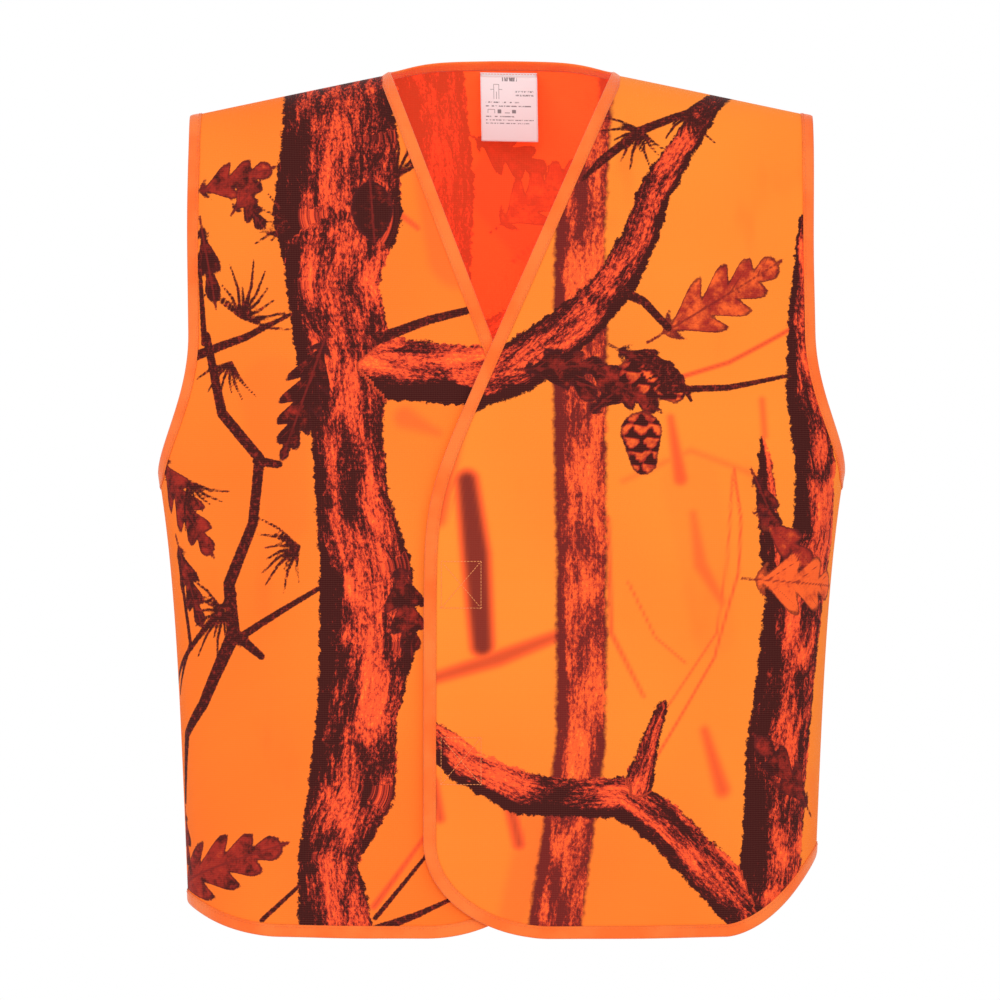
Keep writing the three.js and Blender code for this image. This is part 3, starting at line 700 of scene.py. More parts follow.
def beside_edge(psi, z, panel, across, out, closed):
    """A point `across` mm into the cloth from each station of an edge and `out` mm off it."""
    place = skin(psi, z)
    normal = skin_normal(psi, z)
    if closed:
        along = unit(np.roll(place, -1, 0) - np.roll(place, 1, 0))
    else:
        along = unit(np.gradient(place, axis=0))
        along[0] = along[-1] = 0
        along[0, 1] = np.sign(place[1, 1] - place[0, 1])
        along[-1, 1] = np.sign(place[-1, 1] - place[-2, 1])
    inward = unit(np.cross(normal, along))
    straight = place + inward * across
    near_psi, near_z = back_on_form(straight)
    # right at the shoulder ridge the point stays where it is, as the form turns over there
    names = np.where(straight[:, 1] < 0, "front", "back")
    lift = np.zeros(len(z))
    drop = ridge(place[:, 0]) - z
    snap = smooth((drop - RIDGE_CLEAR) / RIDGE_RUN)
    snapped = skin(near_psi, near_z)
    base = straight + (snapped - straight) * snap[:, None]
    for name in ("left", "right", "back"):
        if name == "back":
            here = names == "back"
        else:
            on_side = place[:, 0] * SIDE[name] > 0 if panel == "ring" else panel == name
            here = (names == "front") & on_side
        if not np.any(here):
            continue
        offset = hang(near_psi[here], near_z[here], name) * snap[here]
        if name == "left":
            offset = offset + left_lift(straight[here, 0], straight[here, 2])
        lift[here] = offset
    near_normal = skin_normal(near_psi, near_z)
    normals = unit(normal + (near_normal - normal) * snap[:, None])
    return base + normals * (lift + out)[:, None]


def tape(name, psi, z, panel, closed=False):
    rings = np.stack([beside_edge(psi, z, panel, a, o, closed) for a, o in TAPE_PROFILE], 1)
    count, corners = rings.shape[:2]
    index = np.arange(count * corners).reshape(count, corners)
    start, end = (index, np.roll(index, -1, 0)) if closed else (index[:-1], index[1:])
    a, b = start, np.roll(start, -1, 1)
    c, d = np.roll(end, -1, 1), end
    faces = np.stack([a.ravel(), b.ravel(), c.ravel(), d.ravel()], 1)
    obj = new_object(name, rings.reshape(-1, 3), faces)
    if not closed:
        work = bmesh.new()
        work.from_mesh(obj.data)
        bmesh.ops.holes_fill(work, edges=[e for e in work.edges if e.is_boundary])
        bmesh.ops.triangulate(work, faces=[f for f in work.faces if len(f.verts) > 4])
        work.to_mesh(obj.data)
        work.free()
    face_outward(obj)
    lengths = np.linalg.norm(np.diff(rings[:, 6], axis=0), axis=1)
    print(name, "length mm:", round(float(lengths.sum())))
    return obj


def face_outward(obj):
    work = bmesh.new()
    work.from_mesh(obj.data)
    bmesh.ops.recalc_face_normals(work, faces=work.faces)
    work.to_mesh(obj.data)
    work.free()


# %% [markdown]
# The edges' stations are spaced by their true length, so that the tape's faces and the stitches on
# it are even all the way round.

# %% The edges
def even(psi, z, step, closed=False):
    place = skin(psi, z)
    if closed:
        place = np.concatenate([place, place[:1]])
        psi, z = np.append(psi, psi[0]), np.append(z, z[0])
    run = run_along(place)
    count = max(int(run[-1] / step), 8)
    at = np.linspace(0, run[-1], count + 1)
    if closed:
        at = at[:-1]
    return np.interp(at, run, psi), np.interp(at, run, z)


def front_outline(panel):
    side, overlap = SIDE[panel], OVERLAP[panel]
    neck_z = float(ridge(float(NECK_HALF)))
    z_down = np.concatenate([neck_z - 180 * np.linspace(0, 1, 240) ** 2,
                             np.linspace(neck_z - 180, HEM_Z + CORNER_HEIGHT, 240)[1:]])
    u_down = front_edge(z_down, overlap)
    turn = np.linspace(0, math.pi / 2, 60)[1:]
    u = np.concatenate([u_down, -overlap + CORNER_WIDTH * (1 - np.cos(turn))])
    z = np.concatenate([z_down, HEM_Z + CORNER_HEIGHT * (1 - np.sin(turn))])
    psi = psi_of(u, z)
    hem_psi = math.pi / 2 + (psi[-1] - math.pi / 2) * np.linspace(1, 0, 300)[1:] ** 1.3
    psi = side * np.concatenate([psi, hem_psi])
    z = np.concatenate([z, hem_line(side * hem_psi)])
    if side < 0:
        psi, z = psi[::-1], z[::-1]
    return psi, z


def neck_outline():
    x = -NECK_HALF * np.cos(np.linspace(0, math.pi, 200))
    z = neckline(x)
    return math.pi - psi_of(x, z), z


def back_hem_outline():
    away = np.linspace(-1, 1, 400)
    psi = math.pi * (1 + np.sign(away) * np.abs(away) ** 0.8 / 2)
    return psi, hem_line(psi)


def armhole_outline(side):
    turn = np.linspace(0, math.pi / 2, 80)
    low_z = ARM_WIDEST_Z - (ARM_WIDEST_Z - UNDERARM_Z) * np.cos(turn)
    tip_psi = float(armhole_psi(np.array(float(ARM_WIDEST_Z))))
    top_z = float(ridge(float(SHOULDER_HALF))) - ROLL * (1 - np.cos(turn[::-1]))
    psi = np.concatenate([armhole_psi(low_z), np.full(len(top_z) - 1, tip_psi)])
    z = np.concatenate([low_z, top_z[1:]])
    # the tip is there twice, once for each side, so that nothing is interpolated round it
    psi, z = np.concatenate([psi, math.pi - psi[:0:-1]]), np.concatenate([z, z[:0:-1]])
    return (psi, z) if side > 0 else (-psi[::-1], z[::-1])


STEP = 3.5
edges = {
    "left_front": (*even(*front_outline("left"), STEP), "left", False),
    "right_front": (*even(*front_outline("right"), STEP), "right", False),
    "back_neck": (*even(*neck_outline(), STEP), "back", False),
    "back_hem": (*even(*back_hem_outline(), STEP), "back", False),
    "left_armhole": (*even(*armhole_outline(1), STEP, True), "ring", True),
    "right_armhole": (*even(*armhole_outline(-1), STEP, True), "ring", True),
}
tapes = {name: tape(f"{name}_tape", *edge) for name, edge in edges.items()}

# %% [markdown]
# Stitches are the same short thread over and over, so they are instances: a Geometry Nodes tree
# resamples a path, puts one small spindle on each point and turns it along the path. The same tree
# sews the tapes, the closure boxes, the seam edges and the label, each with its own lengths.

# %% The stitching tree
def thread_tree(name, source, sizes, result):
    """A new tree with its named inputs, and with the nodes that every tree here ends in."""
    tree = bpy.data.node_groups.new(name, "GeometryNodeTree")
    face = tree.interface
    face.new_socket(source, in_out="INPUT", socket_type="NodeSocketGeometry")
    for label, value in sizes.items():
        face.new_socket(label, in_out="INPUT", socket_type="NodeSocketFloat").default_value = value
    face.new_socket("Thread", in_out="INPUT", socket_type="NodeSocketMaterial")
    face.new_socket(result, in_out="OUTPUT", socket_type="NodeSocketGeometry")
    add, link = tree.nodes.new, tree.links.new
    start, end = add("NodeGroupInput"), add("NodeGroupOutput")
    place, real = add("GeometryNodeInstanceOnPoints"), add("GeometryNodeRealizeInstances")
    finish = add("GeometryNodeSetMaterial")
    link(place.outputs[0], real.inputs[0])
    link(real.outputs[0], finish.inputs["Geometry"])
    link(start.outputs["Thread"], finish.inputs["Material"])
    link(finish.outputs[0], end.inputs[0])
    return tree, start, place


def socket_id(tree, name):
    return next(item.identifier for item in tree.interface.items_tree
                if item.name == name and item.in_out == "INPUT")


def grown_from(name, source_mesh, tree, sizes, thread):
    """What the tree makes of a mesh of paths or points, as one plain mesh."""
    source = placed(name + "_source", source_mesh)
    modifier = source.modifiers.new(tree.name, "NODES")
    modifier.node_group = tree
    for label, value in sizes.items():
        modifier[socket_id(tree, label)] = value
    modifier[socket_id(tree, "Thread")] = thread
    graph = bpy.context.evaluated_depsgraph_get()
    grown = bpy.data.meshes.new_from_object(source.evaluated_get(graph))
    bpy.data.objects.remove(source)
    print(name, "faces", len(grown.polygons))
    return placed(name, grown)


def stitching_tree():
    sizes = {"Pitch": 0.0036, "Stitch length": 0.0028, "Thread radius": 0.0003}
    tree, start, place = thread_tree("row_of_stitches", "Path", sizes, "Stitches")
    add, link = tree.nodes.new, tree.links.new
    curve, points = add("GeometryNodeMeshToCurve"), add("GeometryNodeCurveToPoints")
    points.mode = "LENGTH"
    spindle = add("GeometryNodeMeshUVSphere")
    spindle.inputs["Segments"].default_value = 6
    spindle.inputs["Rings"].default_value = 4
    spindle.inputs["Radius"].default_value = 1.0
    size, half = add("ShaderNodeCombineXYZ"), add("ShaderNodeMath")
    half.operation = "MULTIPLY"
    half.inputs[1].default_value = 0.5
    shape = add("GeometryNodeTransform")
    turn = add("FunctionNodeAlignRotationToVector")
    turn.axis = "Z"
    link(start.outputs["Path"], curve.inputs[0])
    link(curve.outputs[0], points.inputs["Curve"])
    link(start.outputs["Pitch"], points.inputs["Length"])
    link(start.outputs["Stitch length"], half.inputs[0])
    for axis in ("X", "Y"):
        link(start.outputs["Thread radius"], size.inputs[axis])
    link(half.outputs[0], size.inputs["Z"])
    link(spindle.outputs["Mesh"], shape.inputs["Geometry"])
    link(size.outputs[0], shape.inputs["Scale"])
    link(points.outputs["Tangent"], turn.inputs["Vector"])
    link(points.outputs["Points"], place.inputs["Points"])
    link(shape.outputs[0], place.inputs["Instance"])
    link(turn.outputs[0], place.inputs["Rotation"])
    return tree


stitching = stitching_tree()


def sew(name, paths, thread, pitch=3.6, length=2.7, radius=0.28):
    """Rows of stitches along paths (lists of points in mm), as one plain mesh."""
    points = np.concatenate(paths) * MM
    rows, first = [], 0
    for path in paths:
        rows += [(first + k, first + k + 1) for k in range(len(path) - 1)]
        first += len(path)
    mesh = bpy.data.meshes.new(name + "_path")
    mesh.from_pydata(points.tolist(), rows, [])
    sizes = {"Pitch": pitch * MM, "Stitch length": length * MM, "Thread radius": radius * MM}
    obj = grown_from(name, mesh, stitching, sizes, thread)
    for polygon in obj.data.polygons:
        polygon.use_smooth = True
    if not obj.data.materials:
        obj.data.materials.append(thread)
    return obj


# %% [markdown]
# ## Finishes
# Every finish is built from nodes. A few helpers keep the trees short: one adds a maths step, one a
# mix of two colours, one reads a value stored on the mesh.

# %% Node helpers
GLOSS, NAP_ROUGHNESS = 0.06, 0.45


class Finish:
    """A material and short ways to add nodes to it."""
    def __init__(self, name, roughness=0.7, sheen=0.0):
        self.material = bpy.data.materials.new(name)
        self.material.use_nodes = True
        self.tree = self.material.node_tree
        self.shader = self.tree.nodes["Principled BSDF"]
        for key, value in (("Roughness", roughness), ("Sheen Weight", sheen),
                           ("Sheen Roughness", NAP_ROUGHNESS), ("Specular IOR Level", GLOSS)):
            self.shader.inputs[key].default_value = value

    def feed(self, socket, value):
        if not isinstance(value, (int, float, tuple)):
            self.tree.links.new(value, socket)
        elif socket.type == "RGBA":
            socket.default_value = (*value, 1.0)
        else:
            socket.default_value = value

    def node(self, kind, **values):
        """A new node, with its inputs set by name. An underscore stands for a space."""
        node = self.tree.nodes.new(kind)
        for key, value in values.items():
            self.feed(node.inputs[key.replace("_", " ")], value)
        return node

    def maths(self, operation, a, b=0.0, clamp=False):
        node = self.tree.nodes.new("ShaderNodeMath")
        node.operation = operation
        node.use_clamp = clamp
        self.feed(node.inputs[0], a)
        self.feed(node.inputs[1], b)
        return node.outputs[0]

    def add(self, a, b, clamp=False):
        return self.maths("ADD", a, b, clamp)

    def times(self, a, b):
        return self.maths("MULTIPLY", a, b)

    def wander(self, noise, reach):
        """Noise laid evenly about zero."""
        return self.times(self.maths("SUBTRACT", noise, 0.5), reach)

    def ramp(self, value, low, high, a=0.0, b=1.0):
        node = self.tree.nodes.new("ShaderNodeMapRange")
        node.interpolation_type = "SMOOTHSTEP"
        for key, number in (("From Min", low), ("From Max", high), ("To Min", a), ("To Max", b)):
            node.inputs[key].default_value = number
        self.feed(node.inputs["Value"], value)
        return node.outputs["Result"]

    def mix(self, factor, a, b):
        node = self.tree.nodes.new("ShaderNodeMix")
        node.data_type = "RGBA"
        for index, value in ((0, factor), (6, a), (7, b)):
            self.feed(node.inputs[index], value)
        return node.outputs[2]

    def read(self, name, output="Fac"):
        node = self.tree.nodes.new("ShaderNodeAttribute")
        node.attribute_name = name
        return node.outputs[output]

    def where(self, source="cloth", scale=(1, 1, 1)):
        """Cloth coordinates in metres from the UV map, the object's own, or a stored field."""
        if source == "object":
            vector = self.tree.nodes.new("ShaderNodeTexCoord").outputs["Object"]
        elif source == "cloth":
            node = self.tree.nodes.new("ShaderNodeUVMap")
            node.uv_map = "cloth"
            vector = node.outputs[0]
        else:
            vector = self.read(source, "Vector")
        return self.node("ShaderNodeMapping", Vector=vector, Scale=scale).outputs[0]

    def shadow_side(self, field):
        """Bark is in shadow along its left or lower side, and a little along the other."""
        split = self.node("ShaderNodeSeparateXYZ", Vector=self.read(field, "Vector"))
        return self.add(self.ramp(split.outputs[2], -1.0, -0.35, -0.26, 0.0),
                        self.ramp(split.outputs[2], 0.5, 1.05, 0.0, -0.10))

    def noise(self, vector, scale, detail=3.0, rough=0.55, distortion=0.0):
        return self.node("ShaderNodeTexNoise", Vector=vector, Scale=scale, Detail=detail,
                         Roughness=rough, Distortion=distortion).outputs["Fac"]

    def lines(self, vector, scale, direction):
        node = self.node("ShaderNodeTexWave", Vector=vector, Scale=scale, Distortion=0.6)
        node.bands_direction = direction
        return node.outputs["Fac"]

    def colour(self, value):
        self.feed(self.shader.inputs["Base Color"], value)

    def bump(self, height, strength, distance):
        node = self.node("ShaderNodeBump", Height=height, Strength=strength, Distance=distance)
        self.tree.links.new(node.outputs[0], self.shader.inputs["Normal"])

# %% [markdown]
# The printed cloth is the main finish. It starts from the orange ground, redder towards the hem,
# lays the blurred background over it, then the far trunks, the near trunks with their bark, the
# leaves with their veins, and the thin branches and needles. Noise moves each edge by a millimetre
# or two, so that bark and leaves are ragged. The inner side is redder, shows the print faintly and
# glows a little with painted light.

# %% Printed cloth
INK, DEEP_RED, RED = (0.046, 0.004, 0.004), (0.20, 0.013, 0.010), (0.58, 0.040, 0.017)
VERMILION, FLECK = (0.98, 0.095, 0.024), (1.0, 0.20, 0.028)
GROUND, GROUND_LOW = (1.0, 0.255, 0.026), (0.98, 0.135, 0.013)
BARK_LEVELS = ((1.13, 1.18), (1.19, 1.25), (1.25, 1.33), (1.40, 1.50))
NEAR_TONES = (INK, DEEP_RED, RED, VERMILION, FLECK)
FAR_TONES = ((0.16, 0.012, 0.010), (0.36, 0.024, 0.013), (0.66, 0.055, 0.018), (0.95, 0.11, 0.022), FLECK)
MOTTLE, HAZE_PALE, HAZE_DARK = (0.98, 0.10, 0.012), (0.90, 0.075, 0.020), (0.13, 0.012, 0.012)
LEAF_PALE, LEAF_DARK = (0.95, 0.12, 0.02), (0.36, 0.020, 0.012)
LEAF_RIM, LEAF_VEIN, TWIG_PALE = (0.06, 0.006, 0.008), (0.20, 0.012, 0.010), (0.34, 0.022, 0.014)
# the inside's glow colour is painted light: it stands in for light coming through the thin cloth
DYE, PAINTED_THROUGH_LIGHT, YARN_SHINE = (1.0, 0.110, 0.035), (1.0, 0.075, 0.022), (0.80, 0.36, 0.26)


def bark(cloth, field, tones):
    """Plates, streaks and grit of noise along a trunk, cut at a few levels into its tones."""
    plates = cloth.noise(cloth.where(field, (0.040, 0.015, 0.0)), 1.0, 4.0, 0.6, 0.8)
    streaks = cloth.noise(cloth.where(field, (0.22, 0.030, 0.0)), 1.0, 5.0, 0.70, 0.5)
    grit = cloth.noise(cloth.where(field, (0.50, 0.27, 0.0)), 1.0, 5.0, 0.78, 0.4)
    value = cloth.add(cloth.times(plates, 1.00), cloth.times(streaks, 0.60))
    value = cloth.add(cloth.add(value, cloth.times(grit, 0.85)), cloth.shadow_side(field))
    shade = tones[0]
    for (low, high), tone in zip(BARK_LEVELS, tones[1:]):
        shade = cloth.mix(cloth.ramp(value, low, high), shade, tone)
    return shade


def blurred_ground(cloth, place):
    tint = cloth.add(cloth.read("deepness"), cloth.wander(cloth.noise(place, 3.2, 2.0), 1.2), True)
    ground = cloth.mix(tint, GROUND, GROUND_LOW)
    mottle = cloth.ramp(cloth.noise(cloth.where("cloth", (1, 0.45, 1)), 14.0, 3.0), 0.60, 0.80, 0.0, 0.30)
    ground = cloth.mix(mottle, ground, MOTTLE)
    soft = cloth.read("haze")
    ground = cloth.mix(cloth.ramp(soft, 0.0, 0.55, 0.0, 0.85), ground, HAZE_PALE)
    return cloth.mix(cloth.ramp(soft, 0.40, 1.0, 0.0, 0.9), ground, HAZE_DARK)


def leaf_ink(cloth, place, ragged):
    ink = cloth.add(cloth.read("leaf_ink"), cloth.wander(cloth.noise(place, 75.0, 5.0, 0.7), 1.6))
    colour = cloth.mix(cloth.ramp(ink, 0.15, 0.62), LEAF_PALE, LEAF_DARK)
    colour = cloth.mix(cloth.ramp(ink, 0.62, 1.0), colour, INK)
    rim = cloth.ramp(cloth.add(cloth.read("leaf"), ragged), -3.2, -0.6)
    colour = cloth.mix(cloth.times(rim, 0.75), colour, LEAF_RIM)
    return cloth.mix(cloth.ramp(cloth.read("vein"), 1.3, 0.4, 0.0, 0.8), colour, LEAF_VEIN)


def printed_cloth(name, is_inside=False):
    cloth = Finish(name, roughness=0.68, sheen=0.015)
    place = cloth.where("cloth")
    shift = cloth.wander(cloth.noise(place, 130.0, 3.0, 0.65), 9.0)
    ragged = cloth.wander(cloth.noise(place, 420.0, 3.0, 0.7), 5.0)
    bark_edge = cloth.add(cloth.read("wood"), cloth.add(shift, ragged))
    twig_ink = cloth.mix(cloth.ramp(cloth.noise(place, 260.0, 4.0, 0.75), 0.48, 0.72), INK, TWIG_PALE)
    # each layer: the distance to its edge, how soft the edge is, and its colour
    layers = (
        (cloth.add(cloth.read("far"), cloth.times(shift, 0.8)), 2.2, bark(cloth, "far_bark", FAR_TONES)),
        (bark_edge, 0.7, bark(cloth, "bark", NEAR_TONES)),
        (cloth.add(cloth.read("leaf"), cloth.times(ragged, 0.7)), 0.6, leaf_ink(cloth, place, ragged)),
        (cloth.add(cloth.read("twig"), cloth.times(ragged, 0.45)), 0.5, twig_ink))
    colour = blurred_ground(cloth, place)
    for edge, softness, layer in layers:
        colour = cloth.mix(cloth.ramp(edge, softness, -softness), colour, layer)
    if is_inside:
        # the ink bleeds through faintly; the glow is painted light, an emission standing in for the light
        # that comes through the thin cloth
        colour = cloth.mix(0.50, colour, DYE)
        cloth.shader.inputs["Emission Color"].default_value = (*PAINTED_THROUGH_LIGHT, 1.0)
        cloth.shader.inputs["Emission Strength"].default_value = 0.22
    weave = cloth.add(cloth.lines(place, 190.0, "Y"), cloth.times(cloth.lines(place, 230.0, "X"), 0.6))
    cloth.colour(cloth.mix(cloth.ramp(weave, 0.1, 1.5, 0.0, 0.035), colour, YARN_SHINE))
    cloth.bump(cloth.add(weave, cloth.times(cloth.noise(place, 60.0, 3.0), 1.2)), 0.22, 0.0006)
    return cloth.material


cloth_finishes = [printed_cloth("printed_cloth"), printed_cloth("printed_cloth_inside", True)]
print("nodes in the printed cloth:", [len(finish.node_tree.nodes) for finish in cloth_finishes])

# %% [markdown]
# The binding tape is plain, a little peachier than the ground, with a fine cross weave. The thread
# on it is lighter still and slightly glossy. Hook tape is stiff and dull, loop tape is fuzzy.

# %% Tape, thread and closure finishes
def plain_weave(name, colour, dark, roughness=0.6, sheen=0.15, scale=1.0):
    finish = Finish(name, roughness, sheen)
    place = finish.where("object")
    cross = finish.add(*(finish.lines(place, 240.0 * scale, way) for way in "ZX"))
    stain = finish.noise(place, 22.0, 3.0)
    base = finish.mix(finish.ramp(stain, 0.35, 0.7), colour, dark)
    # painted shade: the colour is darkened in the gaps between the yarns of the cross weave, where shade
    # falls
    shade_between_yarns = tuple(0.55 * c for c in colour)
    finish.colour(finish.mix(finish.ramp(cross, 0.2, 1.8, 0.0, 0.22), base, shade_between_yarns))
    finish.bump(finish.add(cross, stain), 0.35, 0.0004)
    return finish.material


tape_finish = plain_weave("binding_tape", (1.0, 0.205, 0.040), (1.0, 0.150, 0.022), 0.5, 0.25)
thread_finish = plain_weave("orange_thread", (1.0, 0.24, 0.055), (0.95, 0.17, 0.030), 0.45, 0.2, 2.0)
box_thread = plain_weave("closure_thread", (1.0, 0.36, 0.13), (1.0, 0.28, 0.09), 0.45, 0.2, 2.0)
hook_finish = plain_weave("hook_tape", (0.85, 0.16, 0.03), (0.70, 0.11, 0.02), 0.45, 0.0, 1.5)
loop_finish = plain_weave("loop_tape", (0.95, 0.24, 0.07), (0.80, 0.16, 0.04), 0.95, 0.5, 1.5)
seam_finish = plain_weave("seam_allowance", (0.90, 0.10, 0.025), (0.70, 0.07, 0.02), 0.8, 0.2)

# %% [markdown]
# The care label is white satin ribbon with printed lines of type. It carries no readable words: the
# type is drawn as short bars, with a small outline figure, as such a label looks from a step away.

# %% Label finish
HEADING = (-5.5, 6.5, -11.5, -8.0)
TYPE_LINES = ((5.0, 20.0, -20.5, -19.2), (5.0, 20.0, -23.5, -22.2), (-19.0, 8.0, -29.2, -28.1),
              (-19.0, 18.0, -32.2, -31.2), (-19.0, 4.0, -40.6, -39.7), (-19.0, 20.0, -43.4, -42.6),
              (-19.0, 16.0, -46.0, -45.2))
FIGURE = ((-12.5, -12.1, -26, -14), (-8.4, -8.0, -26, -14), (-10.4, -10.0, -26, -20),
          (-12.5, -8.0, -14.3, -13.9), (-15.2, -12.4, -18.4, -18.0), (-8.2, -5.4, -18.4, -18.0))
MARKS = ((-17.5, -17.1, -37.6, -34.4), (-12.0, -11.6, -37.6, -34.4), (-17.5, -11.6, -34.7, -34.3),
         (-9.5, -6.5, -37.6, -34.4), (-3.6, 0.4, -37.4, -36.8), (2.2, 5.4, -37.4, -34.6))


def label_print(name):
    finish = Finish(name, roughness=0.5, sheen=0.1)
    place = finish.where("cloth")
    split = finish.node("ShaderNodeSeparateXYZ", Vector=place)

    def box(left, right, low, high):
        inside = 1.0
        for axis, start, end in ((0, left, right), (1, low, high)):
            inside = finish.times(finish.maths("GREATER_THAN", split.outputs[axis], start * MM), inside)
            inside = finish.times(finish.maths("LESS_THAN", split.outputs[axis], end * MM), inside)
        return inside

    def type_like(across, up, detail, low, high):
        return finish.ramp(finish.noise(finish.where("cloth", (across, up, 1)), 1.0, detail), low, high)

    ink = finish.times(box(*HEADING), type_like(620, 120, 1.0, 0.42, 0.50))
    letters = type_like(900, 260, 2.0, 0.44, 0.52)
    for row in TYPE_LINES:
        ink = finish.maths("MAXIMUM", ink, finish.times(box(*row), letters))
    for bar in FIGURE + MARKS:
        ink = finish.maths("MAXIMUM", ink, box(*bar))
    finish.colour(finish.mix(finish.times(ink, 0.8), (0.86, 0.82, 0.83), (0.10, 0.09, 0.10)))
    finish.bump(finish.lines(place, 330.0, "Y"), 0.15, 0.0002)
    return finish.material


label_finish = label_print("label_satin")

# %% [markdown]
# The label hangs inside the back neck. Its top is caught under the binding tape and the rest falls
# free in front of the back panel, so it is one strip that follows the tape and then drops.

# %% Care label
LABEL_WIDTH, LABEL_X, LABEL_THICKNESS = 46.0, 6.0, 0.30
HINGE = np.array([LABEL_X, 53.67, 27.38])
LABEL_FOOT = -24.6


def shell_from_grid(name, outer, inner):
    rows, columns = outer.shape[:2]
    obj = new_object(name, np.concatenate([outer.reshape(-1, 3), inner.reshape(-1, 3)]),
                     grid_shell_faces(rows, columns))
    face_outward(obj)
    return obj


def label_line():
    """The strip's middle line in y and z, from under the tape to its foot."""
    neck_z = float(neckline(LABEL_X))
    tucked = []
    for down in (7.2, 8.4, 9.6):
        z = np.array(neck_z - down)
        psi = math.pi - psi_of(LABEL_X, z)
        tucked.append((skin(psi, z) - skin_normal(psi, z) * 1.5)[1:])
    fall = HINGE[2] - np.linspace(0, 1, 16) * (HINGE[2] - LABEL_FOOT)
    y = HINGE[1] - 1.2 * np.sin((HINGE[2] - fall) / 52 * math.pi) + 0.02 * (HINGE[2] - fall)
    return np.concatenate([np.array(tucked), np.stack([y, fall], 1)])


line = label_line()
down = run_along(line)
fine_down = np.linspace(0, down[-1], 40)
y_line, z_line = (np.interp(fine_down, down, line[:, k]) for k in (0, 1))
across = np.linspace(-LABEL_WIDTH / 2, LABEL_WIDTH / 2, 24)
tilt, free_from, ripple = 0.018, 34, 0.5
along = fine_down[:, None]
label_points = np.zeros((len(fine_down), len(across), 3))
label_points[..., 0] = LABEL_X + across + tilt * (along - 5)
# its top follows the curve of the neck, and its foot is nearly straight
bow = NECK_REACH * (np.sqrt(1 - ((LABEL_X + across) / NECK_HALF) ** 2)
                    - math.sqrt(1 - (LABEL_X / NECK_HALF) ** 2))
waves = ripple * np.sin(across / 9) * smooth(along / 40)
label_points[..., 1] = y_line[:, None] + bow * (1 - smooth(along / free_from)) + waves
label_points[..., 2] = z_line[:, None] - tilt * across
behind = label_points + np.array([0, LABEL_THICKNESS, 0])
label = shell_from_grid("care_label_strip", label_points, behind)
places = np.stack(np.broadcast_arrays(across[None, :], -fine_down[:, None]), -1).reshape(-1, 2)
flat_map(label, np.concatenate([places, places]))
label.data.materials.append(label_finish)
print("label length mm:", round(float(down[-1]), 1))

# %% [markdown]
# Inside, the seam allowances lie open along the shoulders and the sides: two raw edges of cloth
# overlocked together. Each is a thin strip just under the seam with thread looped over both edges.

# %% Seam allowances
OVERLOCK_STEP = 1.6


def strip(name, middle, out, side_way, half, top, thickness):
    """A thin strip along a line of points: `out` is off the cloth, `side_way` is across the strip."""
    shares = np.linspace(-1, 1, 7)
    outer = middle[:, None] + side_way[:, None] * (shares * half)[None, :, None] - out[:, None] * top
    inner = outer - out[:, None] * thickness
    return shell_from_grid(name, outer, inner)


def shoulder_seam(side):
    x = np.linspace(104, 238, 60)
    rise = np.gradient(ridge(x), x)
    out = unit(np.stack([-rise, 0 * x, 1 + 0 * x], 1)) * [side, 1, 1]
    middle = np.stack([side * x, 0 * x, ridge(x)], 1)
    return middle, out, np.tile([0.0, 1.0, 0.0], (len(x), 1)), 6.0


def side_seam(side):
    foot = float(hem_line(np.array(side * math.pi / 2))) + 12
    z = np.linspace(foot, UNDERARM_Z - 12, 130)
    psi = np.full(len(z), side * math.pi / 2)
    middle = skin(psi, z)
    middle[:, 1] = 0
    out = np.tile([float(side), 0.0, 0.0], (len(z), 1))
    return middle, out, np.tile([0.0, 1.0, 0.0], (len(z), 1)), 5.0


def overlock(middle, out, side_way, half, top):
    """The thread's zigzag over one edge, as a path."""
    paths, run = [], run_along(middle)
    at = np.arange(0, run[-1], OVERLOCK_STEP)
    for edge in (-1, 1):
        reach = edge * (half - OVERLOCK_STEP + OVERLOCK_STEP * (np.arange(len(at)) % 2))
        centre, across, off = (np.stack([np.interp(at, run, data[:, k]) for k in range(3)], 1)
                               for data in (middle, side_way, out))
        paths.append(centre + across * reach[:, None] - off * top)
    return paths


seams, seam_threads = {}, []
for side_name, side in SIDE.items():
    for kind, course in (("shoulder", shoulder_seam(side)), ("side", side_seam(side))):
        name = f"{side_name}_{kind}_seam"
        seams[name] = strip(name + "_allowance", *course, 0.7, 1.1)
        seams[name].data.materials.append(seam_finish)
        seam_threads += overlock(*course, 2.0)
overlock_rows = sew("overlock_stitches", seam_threads, thread_finish, 2.2, 2.3, 0.24)

# %% [markdown]
# Each patch of the closure is a stiff pad sewn flat to its front, with a pile that makes it work:
# small open hooks on one, closed loops on the other. One tree grows both. It puts an arc of thread
# on every point of the pad, stood up along the direction stored there and turned at random.

# %% Closure pads and pile
PATCH_X, PATCH_ZS, PATCH_SIZE = -31.5, {"upper": -382.0, "lower": -521.0}, (36.0, 40.0)
PAD_NEAR, PAD_FAR, PILE_HEIGHT, PILE_THREAD = 0.45, 1.3, 0.45, 0.09


def pad(name, panel, z_middle, near, far):
    x = PATCH_X + np.linspace(-0.5, 0.5, 14) * PATCH_SIZE[0]
    z = z_middle + np.linspace(-0.5, 0.5, 14) * PATCH_SIZE[1]
    x, z = np.meshgrid(x, z)
    psi = psi_of(x, z)
    return shell_from_grid(name, cloth_point(psi, z, panel, far), cloth_point(psi, z, panel, near))


